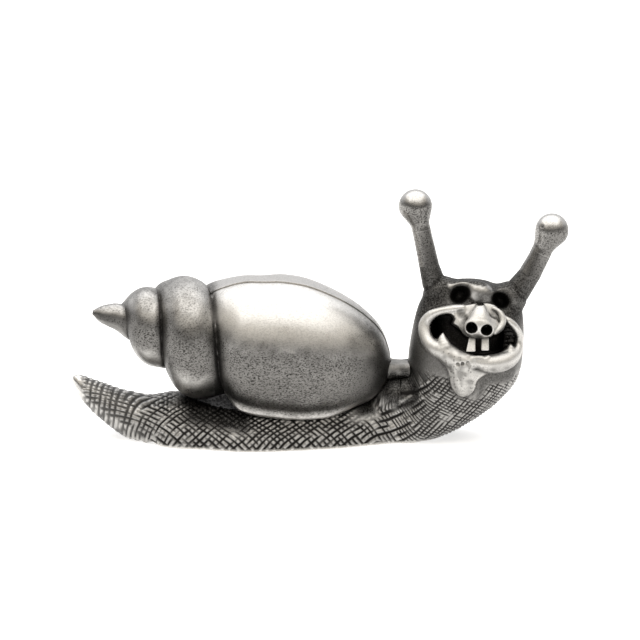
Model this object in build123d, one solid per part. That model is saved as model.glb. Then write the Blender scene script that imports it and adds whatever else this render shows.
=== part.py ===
from build123d import *
import math
import os

# A snail ornament in antiqued pewter, cast in pieces that are pegged and soldered together.
# Millimetres, +Z up. The snail crawls along +X and turns its head to face -Y.
# The origin lies on the flat sole, under the middle of the foot.
# Right and left are the snail's own sides of its face: its right is towards -X.

# Fits shared by all the castings
solder_gap = 0.04           # film of solder between two curved castings
peg_clearance = 0.03        # room around a peg in its hole
cut_overrun = 1.5           # how far a cut runs past the metal that it cuts
ring_points = 16            # points on each closed section
steps_per_row = 3           # sections lofted for each row of a table

# Foot casting: a leaf-shaped sole with a tail that curls up clear of the table
tail_reach = 32.2           # origin back to the tip of the tail
foot_inset = 1.06           # how much narrower the foot is than the shell that it carries, each side
foot_height = 5.4           # ridge of the foot above the middle of its sections
tail_lift = 8.2             # table up to the middle of the tail's tip
sole_trim = 0.3             # metal filed off to leave a flat sole
toe_overlap = 1.4           # how far the foot's form runs on past the neck joint
# Along the foot from the tail, middle height over tail_lift, half height over foot_height, half width
foot_section_shares = [
    (0.000, 1.000, 0.074, 0.044),
    (0.019, 0.923, 0.244, 0.144),
    (0.050, 0.784, 0.367, 0.222),
    (0.090, 0.633, 0.469, 0.300),
    (0.136, 0.479, 0.544, 0.378),
    (0.184, 0.356, 0.613, 0.467),
    (0.229, 0.232, 0.722, 0.578),
    (0.296, 0.146, 0.919, 0.778),
    (0.379, 0.098, 0.926, 0.856),
    (0.527, 0.061, 0.907, 1.000),
    (0.763, 0.061, 0.907, 0.822),
    (0.883, 0.049, 0.926, 0.611),
    (1.000, 0.037, 0.926, 0.400),
]

# Shell: a right-handed spiral on an axis that dips towards the head
shell_seat_x = -11.64       # where the axis passes the groove between the large whorl and the spire
shell_rest = 3.52           # table up to the underside of the shell, before the section's lift
shell_dip = 9.0             # degrees
body_length = 24.8          # large whorl, from that groove to its blunt end
spire_length = 18.1         # from that groove to the tip
shell_radius = 10.06
foot_half_width = shell_radius - foot_inset
shell_seat_z = shell_rest + shell_radius
shell_wall = 2.0            # wall of the hollow large whorl
whorl_growth = 1.593        # each turn is this many times the size of the one before
spiral_root_share = 1.197   # distance of the spiral's origin behind the groove, over spire_length
groove_depth_share = 0.225  # depth of the groove over the radius there
whorl_drum_share = 0.5      # how far each whorl is a drum and not a cone
groove_slant = 14.4         # degrees that the groove leans from square to the axis
seam_roll = 12.0            # degrees that the seam leans to the near side at the top
spire_stations = 30
body_stations = 22
# Along the axis, over spire_length before the groove and over body_length after it,
# then the radius and the lift of the section's middle, both over shell_radius
shell_profile_shares = [
    (-1.000, 0.028, 0.160),
    (-0.938, 0.112, 0.157),
    (-0.859, 0.164, 0.158),
    (-0.781, 0.215, 0.158),
    (-0.727, 0.300, 0.152),
    (-0.664, 0.410, 0.172),
    (-0.609, 0.510, 0.180),
    (-0.531, 0.610, 0.162),
    (-0.445, 0.655, 0.120),
    (-0.313, 0.800, 0.106),
    (-0.195, 0.885, 0.086),
    (0.000, 0.900, 0.042),
    (0.143, 0.960, 0.072),
    (0.286, 1.000, 0.090),
    (0.429, 0.998, 0.097),
    (0.571, 0.940, 0.081),
    (0.714, 0.823, 0.070),
    (0.829, 0.666, 0.063),
    (0.914, 0.502, 0.039),
    (0.971, 0.280, 0.000),
    (1.000, 0.056, 0.000),
]
tip_smooth_shares = (-0.86, -0.74)   # the groove starts to show between these, over spire_length
groove_end_shares = (0.03, 0.30)     # and fades out between these, over body_length

# Neck and head casting
neck_gap = 2.56             # clear space between the shell's end and the back of the neck
neck_half_width = 8.07
neck_half_depth = 6.5
head_rise = 22.7            # table up to the crown of the head
neck_joint_share = 0.5      # place of the neck joint over neck_gap
# Height over head_rise, shift along X and half width over neck_half_width,
# then the reach to the front and to the back over neck_half_depth
neck_section_shares = [
    (0.000, -0.986, 0.496, 0.55, 0.55),
    (0.048, -0.813, 0.607, 0.71, 0.70),
    (0.150, -0.522, 0.774, 0.83, 0.78),
    (0.238, -0.305, 0.867, 0.93, 0.83),
    (0.370, -0.076, 0.973, 1.05, 0.88),
    (0.573, 0.000, 0.998, 1.00, 0.92),
    (0.793, 0.024, 0.985, 0.74, 0.88),
    (0.903, 0.036, 0.886, 0.51, 0.70),
    (0.969, 0.055, 0.632, 0.34, 0.50),
    (1.000, 0.067, 0.372, 0.18, 0.27),
]

# Face mask, laid out on a plane that looks up and towards -Y
face_tilt = 15.0            # degrees that the face looks up
face_width = 14.8
face_shift_share = 0.20     # middle of the face along X, over neck_half_width
face_rise_share = 0.73      # middle of the face, over head_rise
face_skin_share = 0.76      # skin under the nose in front of the neck's middle, over neck_half_depth
face_back_share = 0.30      # back edge of the mask in front of the neck's middle, over neck_half_depth
mask_thickness = 1.0
mouth_depth = 2.6
nose_height = 2.7
nose_tip_share = 0.74       # size of the nose's tip over its root
chin_radius = 2.0
chin_height = 0.4           # middle of the chin's ball above the skin
nostril_radius = 0.62
nostril_depth = 1.0
eye_socket_radius = 1.3
eye_socket_depth = 2.8
# Points on the face plane, to the right and up, over face_width
face_outline_shares = [
    (-0.127, 0.165),
    (-0.300, 0.142),
    (-0.458, 0.109),
    (-0.555, 0.010),
    (-0.545, -0.152),
    (-0.443, -0.287),
    (-0.300, -0.430),
    (-0.253, -0.610),
    (-0.155, -0.700),
    (-0.057, -0.648),
    (-0.020, -0.530),
    (0.094, -0.488),
    (0.300, -0.435),
    (0.395, -0.340),
    (0.405, -0.150),
    (0.330, 0.010),
    (0.230, 0.130),
    (0.060, 0.195),
]
mouth_outline_shares = [
    (-0.340, 0.060),
    (-0.250, 0.010),
    (-0.170, -0.115),
    (0.000, -0.165),
    (0.160, -0.120),
    (0.255, 0.010),
    (0.330, -0.080),
    (0.310, -0.220),
    (0.200, -0.295),
    (0.020, -0.325),
    (-0.171, -0.270),
    (-0.300, -0.150),
    (-0.420, -0.130),
    (-0.440, -0.010),
]
nose_outline_shares = [
    (0.022, 0.173),
    (0.110, 0.040),
    (0.138, -0.040),
    (0.095, -0.135),
    (-0.029, -0.143),
    (-0.118, -0.090),
    (-0.125, -0.025),
    (-0.050, 0.095),
]
nose_tip_centre_shares = (0.005, -0.060)
nostril_shares = [(-0.073, -0.052), (0.074, -0.072)]
chin_shares = (-0.133, -0.585)
eye_socket_shares = [(-0.172, 0.267), (0.215, 0.203)]

# Front teeth, set in sockets under the nose
tooth_width = 1.2
tooth_length = 2.1          # bare length below the nose
tooth_thickness = 0.9
tooth_root = 1.3            # length of the tooth inside its socket
tooth_foot_share = 0.150    # top of the bare tooth below the middle of the face, over face_width
tooth_set = 0.25            # back of the teeth in front of the skin under the nose
tooth_across_shares = {"tooth_right": -0.070, "tooth_left": 0.058}   # over face_width

# Eye stalks and their knobs
stalk_radius = 1.33
stalk_root_radius = 2.5     # flare of the head where a stalk grows out of it
stalk_seat = 3.4            # centre of that flare up to the joint
knob_radius = 2.4
knob_neck = 3.5             # centre of the knob down to its joint
stalk_back_lean = 4.0       # degrees
knob_collar_share = 1.06    # radius of the knob's collar over stalk_radius
# Root over neck_half_width and head_rise, lean in degrees towards +X, root to the centre of the knob
stalk_places = {
    "right": {"across_share": -0.58, "rise_share": 0.93, "lean": -11.9, "length": 12.4},
    "left": {"across_share": 0.86, "rise_share": 0.885, "lean": 27.4, "length": 10.9},
}

# Lug between the shell and the neck
bridge_width = 4.6
bridge_height = 2.9

# Pegs
neck_peg_radius = 0.9
neck_peg_length = 7.0
neck_peg_rise_share = 0.5   # height over foot_height
shell_peg_radius = 0.8
shell_peg_bite = 1.4        # length inside the shell's wall
shell_peg_foot = 1.2        # table up to the foot of each peg
shell_peg_along_shares = [0.30, 0.62]
shell_peg_offset = 1.2      # towards the near side, clear of the seam
seam_peg_radius = 0.45
seam_peg_length = 2.6
seam_peg_along_shares = [0.22, 0.50, 0.78]
spire_peg_radius = 1.0
spire_peg_length = 6.0
stalk_peg_radius = 0.5
stalk_peg_length = 3.6
knob_peg_radius = 0.45
knob_peg_length = 3.2
face_peg_radius = 0.55
face_peg_length = 3.0
face_peg_set = 0.5          # middle of the peg behind the skin
face_peg_shares = (0.010, 0.020)

# Places worked out from the sizes above
dip = math.radians(shell_dip)
shell_seat = Vector(shell_seat_x, 0, shell_seat_z)
axis_along = Vector(math.cos(dip), 0, -math.sin(dip))
axis_up = Vector(math.sin(dip), 0, math.cos(dip))
near_side = Vector(0, -1, 0)
shell_end = shell_seat + axis_along * body_length
neck_x = shell_end.X + neck_gap + neck_half_width
neck_joint_x = shell_end.X + neck_gap * neck_joint_share
toe_reach = neck_joint_x + toe_overlap
face_plane = Plane(
    origin=(neck_x + neck_half_width * face_shift_share, 0, head_rise * face_rise_share),
    x_dir=(1, 0, 0),
    z_dir=(0, -math.cos(math.radians(face_tilt)), math.sin(math.radians(face_tilt))),
)
face_skin = neck_half_depth * face_skin_share


def ring(points):
    """A flat face inside a smooth closed curve through the points."""
    return make_face(Spline(*points, periodic=True))


def ellipse_ring(plane, across, up, down=None):
    """An egg-shaped face on a plane, with its own reach to either side of the plane's x axis."""
    points = []
    for step in range(ring_points):
        turn = math.tau * step / ring_points
        reach = up if math.sin(turn) > 0 or down is None else down
        points.append(plane.from_local_coords((across * math.cos(turn), reach * math.sin(turn), 0)))
    return ring(points)


def rod(start, direction, length, radius):
    """A round rod from a point along a direction."""
    return extrude(Plane(origin=start, z_dir=direction) * Circle(radius), amount=length)


def smooth_table(rows, place):
    """The row of a table at a place, on smooth curves through its rows."""
    last = len(rows) - 2
    index = next((i for i in range(last + 1) if place <= rows[i + 1][0]), last)
    before, start, end, after = (rows[min(max(i, 0), last + 1)] for i in range(index - 1, index + 3))
    span = end[0] - start[0]
    part = min(max((place - start[0]) / span, 0), 1)
    values = []
    for column in range(1, len(start)):
        slope_in = (end[column] - before[column]) / max(end[0] - before[0], span) * span
        slope_out = (after[column] - start[column]) / max(after[0] - start[0], span) * span
        rise = end[column] - start[column]
        cubic = slope_in + slope_out - 2 * rise
        square = 3 * rise - 2 * slope_in - slope_out
        values.append(start[column] + part * (slope_in + part * (square + part * cubic)))
    return values


def table_steps(rows):
    """Every row of a table, with smooth rows between them."""
    places = []
    for start, end in zip(rows, rows[1:]):
        places += [start[0] + (end[0] - start[0]) * step / steps_per_row for step in range(steps_per_row)]
    places.append(rows[-1][0])
    return [(place, *smooth_table(rows, place)) for place in places]


def ramp(value, limits):
    """Nought before the first limit, one after the second, and smooth between them."""
    part = min(max((value - limits[0]) / (limits[1] - limits[0]), 0), 1)
    return part * part * (3 - 2 * part)


def foot_form():
    """The foot from the tip of the tail to its toe inside the neck."""
    length = tail_reach + toe_reach
    sections = []
    for along, middle, height, width in table_steps(foot_section_shares):
        centre = (along * length - tail_reach, 0, middle * tail_lift)
        plane = Plane(origin=centre, x_dir=(0, 1, 0), z_dir=(1, 0, 0))
        sections.append(ellipse_ring(plane, width * foot_half_width, height * foot_height))
    return loft(sections, ruled=True)


def neck_form(grow=0):
    """The neck and head without their flares, grown all round by a wall."""
    sections = []
    for rise, shift, width, front, back in table_steps(neck_section_shares):
        height = rise * (head_rise + grow) - sole_trim * (rise == 0)
        plane = Plane(origin=(neck_x + shift * neck_half_width, 0, height), x_dir=(1, 0, 0), z_dir=(0, 0, 1))
        across = width * neck_half_width + grow
        reach_back = back * neck_half_depth + grow
        reach_front = front * neck_half_depth + grow
        sections.append(ellipse_ring(plane, across, reach_back, reach_front))
    return loft(sections, ruled=True)


def shell_share(place):
    """The share on either side of the groove for a distance along the shell's axis."""
    return place / (spire_length if place < 0 else body_length)


def shell_size(place):
    """Radius and lift of the shell at a distance along its axis."""
    radius, lift = smooth_table(shell_profile_shares, shell_share(place))
    return radius * shell_radius, lift * shell_radius


def whorl_place(place, turn):
    """Distance across its whorl, from -1 to 1, and the place of the whorl's middle at that turn."""
    root = spiral_root_share * spire_length
    turns = math.log((place + root) / root) / math.log(whorl_growth) - turn / math.tau
    middle = root * (whorl_growth ** (math.floor(turns) + 0.5 + turn / math.tau) - 1)
    return 2 * (turns % 1) - 1, min(max(middle, -spire_length), body_length)


def shell_reach(place, turn, grooved=True):
    """Distance from the section's middle to the skin of the shell, or to the form that clears it."""
    share = shell_share(place)
    across, middle = whorl_place(place, turn)
    radius = shell_size(place)[0]
    shown = ramp(share, tip_smooth_shares) * (1 - ramp(share, groove_end_shares))
    drum = shown * whorl_drum_share * (shell_size(middle)[0] - radius) * (1 - across * across)
    if not grooved:
        return radius + max(drum, 0)
    return radius * (1 - shown * groove_depth_share * across * across) + drum


def shell_ring(place, grow=0, grooved=True):
    """A section of the shell square to its axis."""
    lift = shell_size(place)[1]
    middle = shell_seat + axis_along * place + axis_up * lift
    points = []
    for step in range(ring_points * 2):
        turn = math.tau * step / (ring_points * 2)
        reach = shell_reach(place, turn, grooved) + grow
        points.append(middle + near_side * (reach * math.cos(turn)) - axis_up * (reach * math.sin(turn)))
    return ring(points)


def spire_plane():
    """The joint along the deep groove, looking towards the head."""
    lean = math.radians(groove_slant)
    return Plane(origin=shell_seat, z_dir=axis_along * math.cos(lean) + axis_up * math.sin(lean))


def seam_plane():
    """The seam between the two shell halves, looking to the near side."""
    roll = math.radians(seam_roll)
    return Plane(origin=shell_seat, z_dir=near_side * math.cos(roll) - axis_up * math.sin(roll))


def shell_form(grow=0, grooved=True):
    """The whole shell as one form, grown all round, with or without its spiral groove."""
    places = [-spire_length + spire_length * i / spire_stations for i in range(spire_stations)]
    places += [body_length * i / body_stations for i in range(body_stations)]
    places.append(body_length + grow)
    return loft([shell_ring(place, grow, grooved) for place in places], ruled=True)


def shell_hollow():
    """The space inside the large whorl."""
    start = shell_wall + shell_radius * math.tan(math.radians(groove_slant))
    span = body_length - shell_wall - start
    places = [start + span * i / body_stations for i in range(body_stations + 1)]
    inside = [place for place in places if shell_size(place)[0] > 2 * shell_wall]
    return loft([shell_ring(place, -shell_wall) for place in inside], ruled=True)


def face_point(shares, depth=0):
    """A point on the face, at a distance in front of the neck's middle."""
    return face_plane.from_local_coords((shares[0] * face_width, shares[1] * face_width, depth))


def face_outline(shares, depth, scale=1.0, centre=(0, 0)):
    """A smooth outline on the face, drawn in towards a centre."""
    drawn = [tuple(centre[i] + (point[i] - centre[i]) * scale for i in (0, 1)) for point in shares]
    return ring([face_point(point, depth) for point in drawn])


def nose_form():
    """The nose, from its root in the mask to its blunt tip."""
    root = face_outline(nose_outline_shares, face_skin - mask_thickness)
    tip = face_outline(nose_outline_shares, face_skin + nose_height, nose_tip_share, nose_tip_centre_shares)
    return loft([root, tip])


def tooth_block(across_share, grow=0):
    """A front tooth with its root, or the socket that takes it."""
    top = face_point((across_share, -tooth_foot_share), face_skin + tooth_set + tooth_thickness / 2)
    middle = top + face_plane.y_dir * ((tooth_root - tooth_length) / 2)
    place = Plane(origin=middle, x_dir=face_plane.x_dir, z_dir=face_plane.z_dir)
    height = tooth_length + tooth_root
    return place * Box(tooth_width + 2 * grow, height + 2 * grow, tooth_thickness + 2 * grow)


def stalk_line(side):
    """Root and direction of an eye stalk."""
    place = stalk_places[side]
    lean = math.radians(place["lean"])
    back = math.radians(stalk_back_lean)
    root = Vector(neck_x + place["across_share"] * neck_half_width, 0, place["rise_share"] * head_rise)
    direction = Vector(math.sin(lean) * math.cos(back), math.sin(back), math.cos(lean) * math.cos(back))
    return root, direction


def stalk_flare(side):
    """The flare of the head under an eye stalk."""
    root, direction = stalk_line(side)
    foot = Plane(origin=root - direction * stalk_root_radius, z_dir=direction)
    waist = Plane(origin=root + direction * stalk_seat / 2, z_dir=direction)
    seat = Plane(origin=root + direction * stalk_seat, z_dir=direction)
    waist_radius = (stalk_root_radius + 2 * stalk_radius) / 3
    return loft([
        foot * Circle(stalk_root_radius),
        waist * Circle(waist_radius),
        seat * Circle(stalk_radius),
    ])


def peg_pair(start, direction, length, radius):
    """A peg centred on a joint, and the hole that takes it."""
    foot = start - direction * (length / 2)
    hole_foot = foot - direction * peg_clearance
    return rod(foot, direction, length, radius), rod(
        hole_foot, direction, length + 2 * peg_clearance, radius + peg_clearance
    )


def shell_peg_pairs():
    """Upright pegs from the foot into the near half of the shell, with their holes."""
    pegs = []
    for share in shell_peg_along_shares:
        radius, lift = shell_size(share * body_length)
        middle = shell_seat + axis_along * (share * body_length) + axis_up * lift
        drop = math.sqrt(radius * radius - shell_peg_offset * shell_peg_offset)
        under = middle - axis_up * drop
        top = under.Z + shell_peg_bite
        centre = Vector(under.X, -shell_peg_offset, (top + shell_peg_foot) / 2)
        pegs.append(peg_pair(centre, Vector(0, 0, 1), top - shell_peg_foot, shell_peg_radius))
    return pegs


def seam_peg_pairs():
    """Small pegs square to the seam, in the middle of the shell's wall at the top, with their holes."""
    seam = seam_plane()
    roll = math.radians(seam_roll)
    top_way = axis_up * math.cos(roll) + near_side * math.sin(roll)
    pegs = []
    for share in seam_peg_along_shares:
        radius, lift = shell_size(share * body_length)
        middle = shell_seat + axis_along * (share * body_length) + axis_up * lift
        crown = middle + top_way * (radius - shell_wall / 2)
        centre = crown - seam.z_dir * (crown - shell_seat).dot(seam.z_dir)
        pegs.append(peg_pair(centre, seam.z_dir, seam_peg_length, seam_peg_radius))
    return pegs


def stalk_peg_pairs():
    """Pegs at the roots of the stalks, with their holes."""
    pegs = []
    for side in stalk_places:
        root, direction = stalk_line(side)
        pegs.append(peg_pair(root + direction * stalk_seat, direction, stalk_peg_length, stalk_peg_radius))
    return pegs


def knob_peg_pairs():
    """Pegs between the stalks and their knobs, with their holes."""
    pegs = []
    for side in stalk_places:
        root, direction = stalk_line(side)
        joint = root + direction * (stalk_places[side]["length"] - knob_neck)
        pegs.append(peg_pair(joint, direction, knob_peg_length, knob_peg_radius))
    return pegs


def less_holes(shape, *groups):
    """A casting with the holes of its pegs cut in it."""
    for pairs in groups:
        for _, hole in pairs:
            shape = shape - hole
    return shape


def eye_stalk(side, stalk_pegs, knob_pegs):
    """A bare stalk, from its seat on the head to the joint under its knob."""
    root, direction = stalk_line(side)
    bare = stalk_places[side]["length"] - knob_neck - stalk_seat
    shaft = rod(root + direction * stalk_seat, direction, bare, stalk_radius)
    return less_holes(shaft, stalk_pegs, knob_pegs)


def eye_knob(side, knob_pegs):
    """A ball on a short collar."""
    root, direction = stalk_line(side)
    centre = root + direction * stalk_places[side]["length"]
    joint = Plane(origin=centre - direction * knob_neck, z_dir=direction)
    collar_top = Plane(origin=centre, z_dir=direction)
    collar = loft([joint * Circle(stalk_radius), collar_top * Circle(stalk_radius * knob_collar_share)])
    return less_holes(collar + Pos(*centre) * Sphere(knob_radius), knob_pegs)


def neck_bridge(seat):
    """The lug between the end of the shell and the back of the neck."""
    length = neck_gap + neck_half_width
    middle = Vector(shell_end.X + length / 2 - bridge_height, 0, shell_end.Z)
    lug = Pos(*middle) * Box(length, bridge_width, bridge_height)
    return lug - seat - neck_form(solder_gap)


def face_mask(face_pegs):
    """The bright face: cheeks, lips, nose and chin on one curved plate."""
    front = face_skin + nose_height + chin_radius + cut_overrun
    back = neck_half_depth * face_back_share
    prism = extrude(face_outline(face_outline_shares, back), amount=front - back, dir=face_plane.z_dir)
    chin = Pos(*face_point(chin_shares, face_skin + chin_height)) * Sphere(chin_radius)
    form = (prism & neck_form(mask_thickness)) + nose_form() + chin
    form = form - neck_form(solder_gap) - mouth_form()
    for shares in nostril_shares:
        start = face_point(shares, face_skin + nose_height - nostril_depth)
        form = form - rod(start, face_plane.z_dir, nostril_depth + cut_overrun, nostril_radius)
    for across_share in tooth_across_shares.values():
        form = form - tooth_block(across_share, peg_clearance)
    return less_holes(form, face_pegs)


def mouth_form():
    """The hollow of the mouth, from its floor inside the head out past the lips."""
    floor = face_outline(mouth_outline_shares, face_skin - mouth_depth)
    return extrude(floor, amount=mouth_depth + nose_height + chin_radius, dir=face_plane.z_dir) - nose_form()


def eye_socket_forms():
    """The two round hollows of the eyes."""
    length = eye_socket_depth + cut_overrun
    starts = [face_point(shares, face_skin - eye_socket_depth) for shares in eye_socket_shares]
    return [rod(start, face_plane.z_dir, length, eye_socket_radius) for start in starts]


def build():
    """Every node of the ornament by name."""
    seat = shell_form(solder_gap, grooved=False)
    shell = shell_form()
    spire_cut, seam_cut = spire_plane(), seam_plane()
    shell_pegs, seam_pegs = shell_peg_pairs(), seam_peg_pairs()
    stalk_pegs, knob_pegs = stalk_peg_pairs(), knob_peg_pairs()
    neck_peg_centre = Vector(neck_joint_x, 0, neck_peg_rise_share * foot_height)
    neck_pegs = [peg_pair(neck_peg_centre, Vector(1, 0, 0), neck_peg_length, neck_peg_radius)]
    spire_pegs = [peg_pair(shell_seat, axis_along, spire_peg_length, spire_peg_radius)]
    nose_root = face_point(face_peg_shares, face_skin - face_peg_set)
    face_pegs = [peg_pair(nose_root, face_plane.z_dir, face_peg_length, face_peg_radius)]

    table = Plane(origin=(0, 0, 0), z_dir=(0, 0, 1))
    joint = Plane(origin=(neck_joint_x, 0, 0), z_dir=(1, 0, 0))
    slug = split(foot_form() + neck_form(), table, keep=Keep.TOP) - seat
    head = split(slug, joint, keep=Keep.TOP)
    for side in stalk_places:
        head = head + stalk_flare(side)
    head = head - mouth_form()
    for socket in eye_socket_forms():
        head = head - socket
    for across_share in tooth_across_shares.values():
        head = head - tooth_block(across_share, peg_clearance)

    body = split(shell, spire_cut, keep=Keep.TOP) - shell_hollow()
    body = less_holes(body, shell_pegs, seam_pegs, spire_pegs)
    nodes = {
        "foot": less_holes(split(slug, joint, keep=Keep.BOTTOM), neck_pegs, shell_pegs),
        "neck_and_head": less_holes(head, neck_pegs, stalk_pegs, face_pegs),
        "face_mask": face_mask(face_pegs),
        "shell_near_half": split(body, seam_cut, keep=Keep.TOP),
        "shell_far_half": split(body, seam_cut, keep=Keep.BOTTOM),
        "shell_spire": less_holes(split(shell, spire_cut, keep=Keep.BOTTOM), spire_pegs),
        "neck_bridge": neck_bridge(seat),
    }
    for name, across_share in tooth_across_shares.items():
        nodes[name] = tooth_block(across_share)
    for side in stalk_places:
        nodes[f"eye_stalk_{side}"] = eye_stalk(side, stalk_pegs, knob_pegs)
        nodes[f"eye_knob_{side}"] = eye_knob(side, knob_pegs)
    peg_groups = {
        "shell_pegs": shell_pegs,
        "seam_pegs": seam_pegs,
        "spire_peg": spire_pegs,
        "neck_peg": neck_pegs,
        "stalk_pegs": stalk_pegs,
        "knob_pegs": knob_pegs,
        "face_peg": face_pegs,
    }
    for name, pairs in peg_groups.items():
        nodes[name] = Compound(children=[peg for peg, _ in pairs])
    return nodes


os.makedirs("parts", exist_ok=True)
for node, shape in build().items():
    export_step(shape, f"parts/{node}.step")
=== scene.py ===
"""Looks of a cast snail ornament in antiqued pewter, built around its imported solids.

Lengths are millimetres in the frame of the solids until a mesh is made, which is in metres.
The snail crawls along +X, stands on Z = 0 and turns its face to -Y.
"""

import logging
import math
from dataclasses import dataclass, field
from enum import Enum
from typing import Callable

import bpy
import numpy as np
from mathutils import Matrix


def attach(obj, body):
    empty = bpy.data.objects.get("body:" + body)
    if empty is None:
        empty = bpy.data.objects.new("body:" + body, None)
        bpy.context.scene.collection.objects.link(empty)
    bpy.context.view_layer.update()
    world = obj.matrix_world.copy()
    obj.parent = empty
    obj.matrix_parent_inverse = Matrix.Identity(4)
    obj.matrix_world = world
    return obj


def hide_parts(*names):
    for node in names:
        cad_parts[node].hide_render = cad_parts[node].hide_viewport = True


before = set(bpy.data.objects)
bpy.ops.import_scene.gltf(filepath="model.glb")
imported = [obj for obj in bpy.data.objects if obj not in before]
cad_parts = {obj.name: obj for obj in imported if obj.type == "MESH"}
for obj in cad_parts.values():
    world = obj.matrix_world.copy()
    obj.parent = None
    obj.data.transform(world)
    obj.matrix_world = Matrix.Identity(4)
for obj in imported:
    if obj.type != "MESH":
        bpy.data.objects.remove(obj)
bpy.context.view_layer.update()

LOG = logging.getLogger("pewter_snail")
MM = 0.001
TINY = 1e-9  # keeps a division from failing
SLAB_POINTS = 400_000  # points that a form is read at in one go
CURVE_SAMPLES = 900  # places at which a profile is worked out
BLOCK = 4  # cells of a net along each side of a rough block
BAND = 1.3  # how near the surface has to be for a block to be filled, in blocks
DRAWS = 2  # times that a net is drawn onto its form
GENTLEST = 0.2  # least slope, squared, that a net is drawn along
CRISP = math.radians(55.0)  # folds sharper than this are shaded as edges
SOLID = 1.0  # alpha of every colour
FINE_SHARE = 1.5  # how much more fine hollows count than broad ones
Array = np.ndarray
Pair = tuple[float, float]
Triple = tuple[float, float, float]
Form = Callable[[Array], Array]


class Slot(Enum):
    """Material slots of the record."""

    ENGRAVED = "engraved_pewter"
    SHELL = "shell_pewter"
    POLISHED = "polished_pewter"


def ease(value: Array, start: float, end: float) -> Array:
    """Nought at start, one at end, and smooth between them."""
    part = np.clip((value - start) / (end - start), 0.0, 1.0)
    return part * part * (3.0 - 2.0 * part)


def fade(value: Array, start: float, end: float) -> Array:
    """One at start, nought at end, and smooth between them."""
    return 1.0 - ease(value, start, end)


def join(first: Array, second: Array, fillet: float | Array) -> Array:
    """Union of two forms with a fillet of that size between them."""
    near = np.maximum(fillet - np.abs(first - second), 0.0)
    return np.minimum(first, second) - near * near / (4.0 * np.maximum(fillet, TINY))


def cut(first: Array, second: Array, round_over: float) -> Array:
    """The first form less the second, with a rounded edge."""
    return -join(-first, second, round_over)


def overlap(first: Array, second: Array, round_over: float) -> Array:
    """What two forms share, with a rounded edge."""
    return -join(-first, -second, round_over)


def egg_distance(across: Array, up: Array, reach_across: Array, reach_up: Array) -> Array:
    """About the distance from an ellipse with those half axes."""
    inner = np.hypot(across / reach_across, up / reach_up)
    slope = np.hypot(across / reach_across**2, up / reach_up**2)
    return inner * (inner - 1.0) / np.maximum(slope, TINY)


def away_from(points: Array, centre: Array) -> Array:
    """Distance of each point from a centre."""
    return np.linalg.norm(points - centre, axis=1)


def ball_distance(points: Array, centre: Array, radii: Array) -> Array:
    """About the distance from an ellipsoid."""
    offset = points - centre
    inner = np.linalg.norm(offset / radii, axis=1)
    slope = np.linalg.norm(offset / np.square(radii), axis=1)
    return inner * (inner - 1.0) / np.maximum(slope, TINY)


def roll_distance(points: Array, path: Array, radii: Array) -> Array:
    """Distance from a rounded roll along a path, with its own radius at each point."""
    nearest = np.full(len(points), np.inf)
    for start, end, first, last in zip(path, path[1:], radii, radii[1:]):
        way = end - start
        part = np.clip((points - start) @ way / max(way @ way, TINY), 0.0, 1.0)
        gap = np.linalg.norm(points - start - part[:, None] * way, axis=1)
        nearest = np.minimum(nearest, gap - first - part * (last - first))
    return nearest


def outline_distance(across: Array, up: Array, corners: Array) -> Array:
    """Signed distance from a closed outline on a plane, below nought inside."""
    nearest = np.full(len(across), np.inf)
    inside = np.zeros(len(across), bool)
    for (u0, v0), (u1, v1) in zip(corners, np.roll(corners, -1, axis=0)):
        du, dv = u1 - u0, v1 - v0
        part = np.clip(((across - u0) * du + (up - v0) * dv) / (du * du + dv * dv), 0.0, 1.0)
        nearest = np.minimum(nearest, np.hypot(across - u0 - part * du, up - v0 - part * dv))
        crosses = (v0 > up) != (v1 > up)
        inside ^= crosses & (across < u0 + (up - v0) * du / (dv if dv else TINY))
    return np.where(inside, -nearest, nearest)


def blotch(points: Array, pitch: float, seed: int, waves: int = 10) -> Array:
    """Uneven patches about one pitch across, above and below nought."""
    chance = np.random.default_rng(seed)
    ways = chance.normal(size=(waves, 3))
    ways *= chance.uniform(0.6, 1.4, (waves, 1)) / np.linalg.norm(ways, axis=1, keepdims=True)
    phase = points @ ways.T * math.tau / pitch + chance.uniform(0.0, math.tau, waves)
    return np.sin(phase).sum(axis=1) / math.sqrt(waves)


def cubic_between(start: Array, end: Array, slope_in: Array, slope_out: Array, part: Array) -> Array:
    """Places on the cubics that leave one row and reach the next with those slopes."""
    rise = end - start
    cubic, square = slope_in + slope_out - 2 * rise, 3 * rise - 2 * slope_in - slope_out
    return start + part * (slope_in + part * (square + part * cubic))


def smooth_path(points: Array, steps: int, closed: bool = False) -> Array:
    """Points on smooth curves through the rows of a list.

    Args:
        points: rows of the list.
        steps: points for each row.
        closed: whether the last row leads back to the first.

    Returns:
        The rows of the smooth path.
    """
    rows = np.asarray(points, float)
    count = len(rows)
    places = np.arange(0, count if closed else count - 1, 1.0 / steps)
    if not closed:
        places = np.append(places, count - 1 - TINY)
    index = places.astype(int)
    part = (places - index)[:, None]

    def row(offset: int) -> Array:
        """Rows at an offset from each place."""
        wanted = index + offset
        return rows[wanted % count] if closed else rows[np.clip(wanted, 0, count - 1)]

    before, start, end, after = row(-1), row(0), row(1), row(2)
    return cubic_between(start, end, (end - before) / 2, (after - start) / 2, part)


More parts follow.
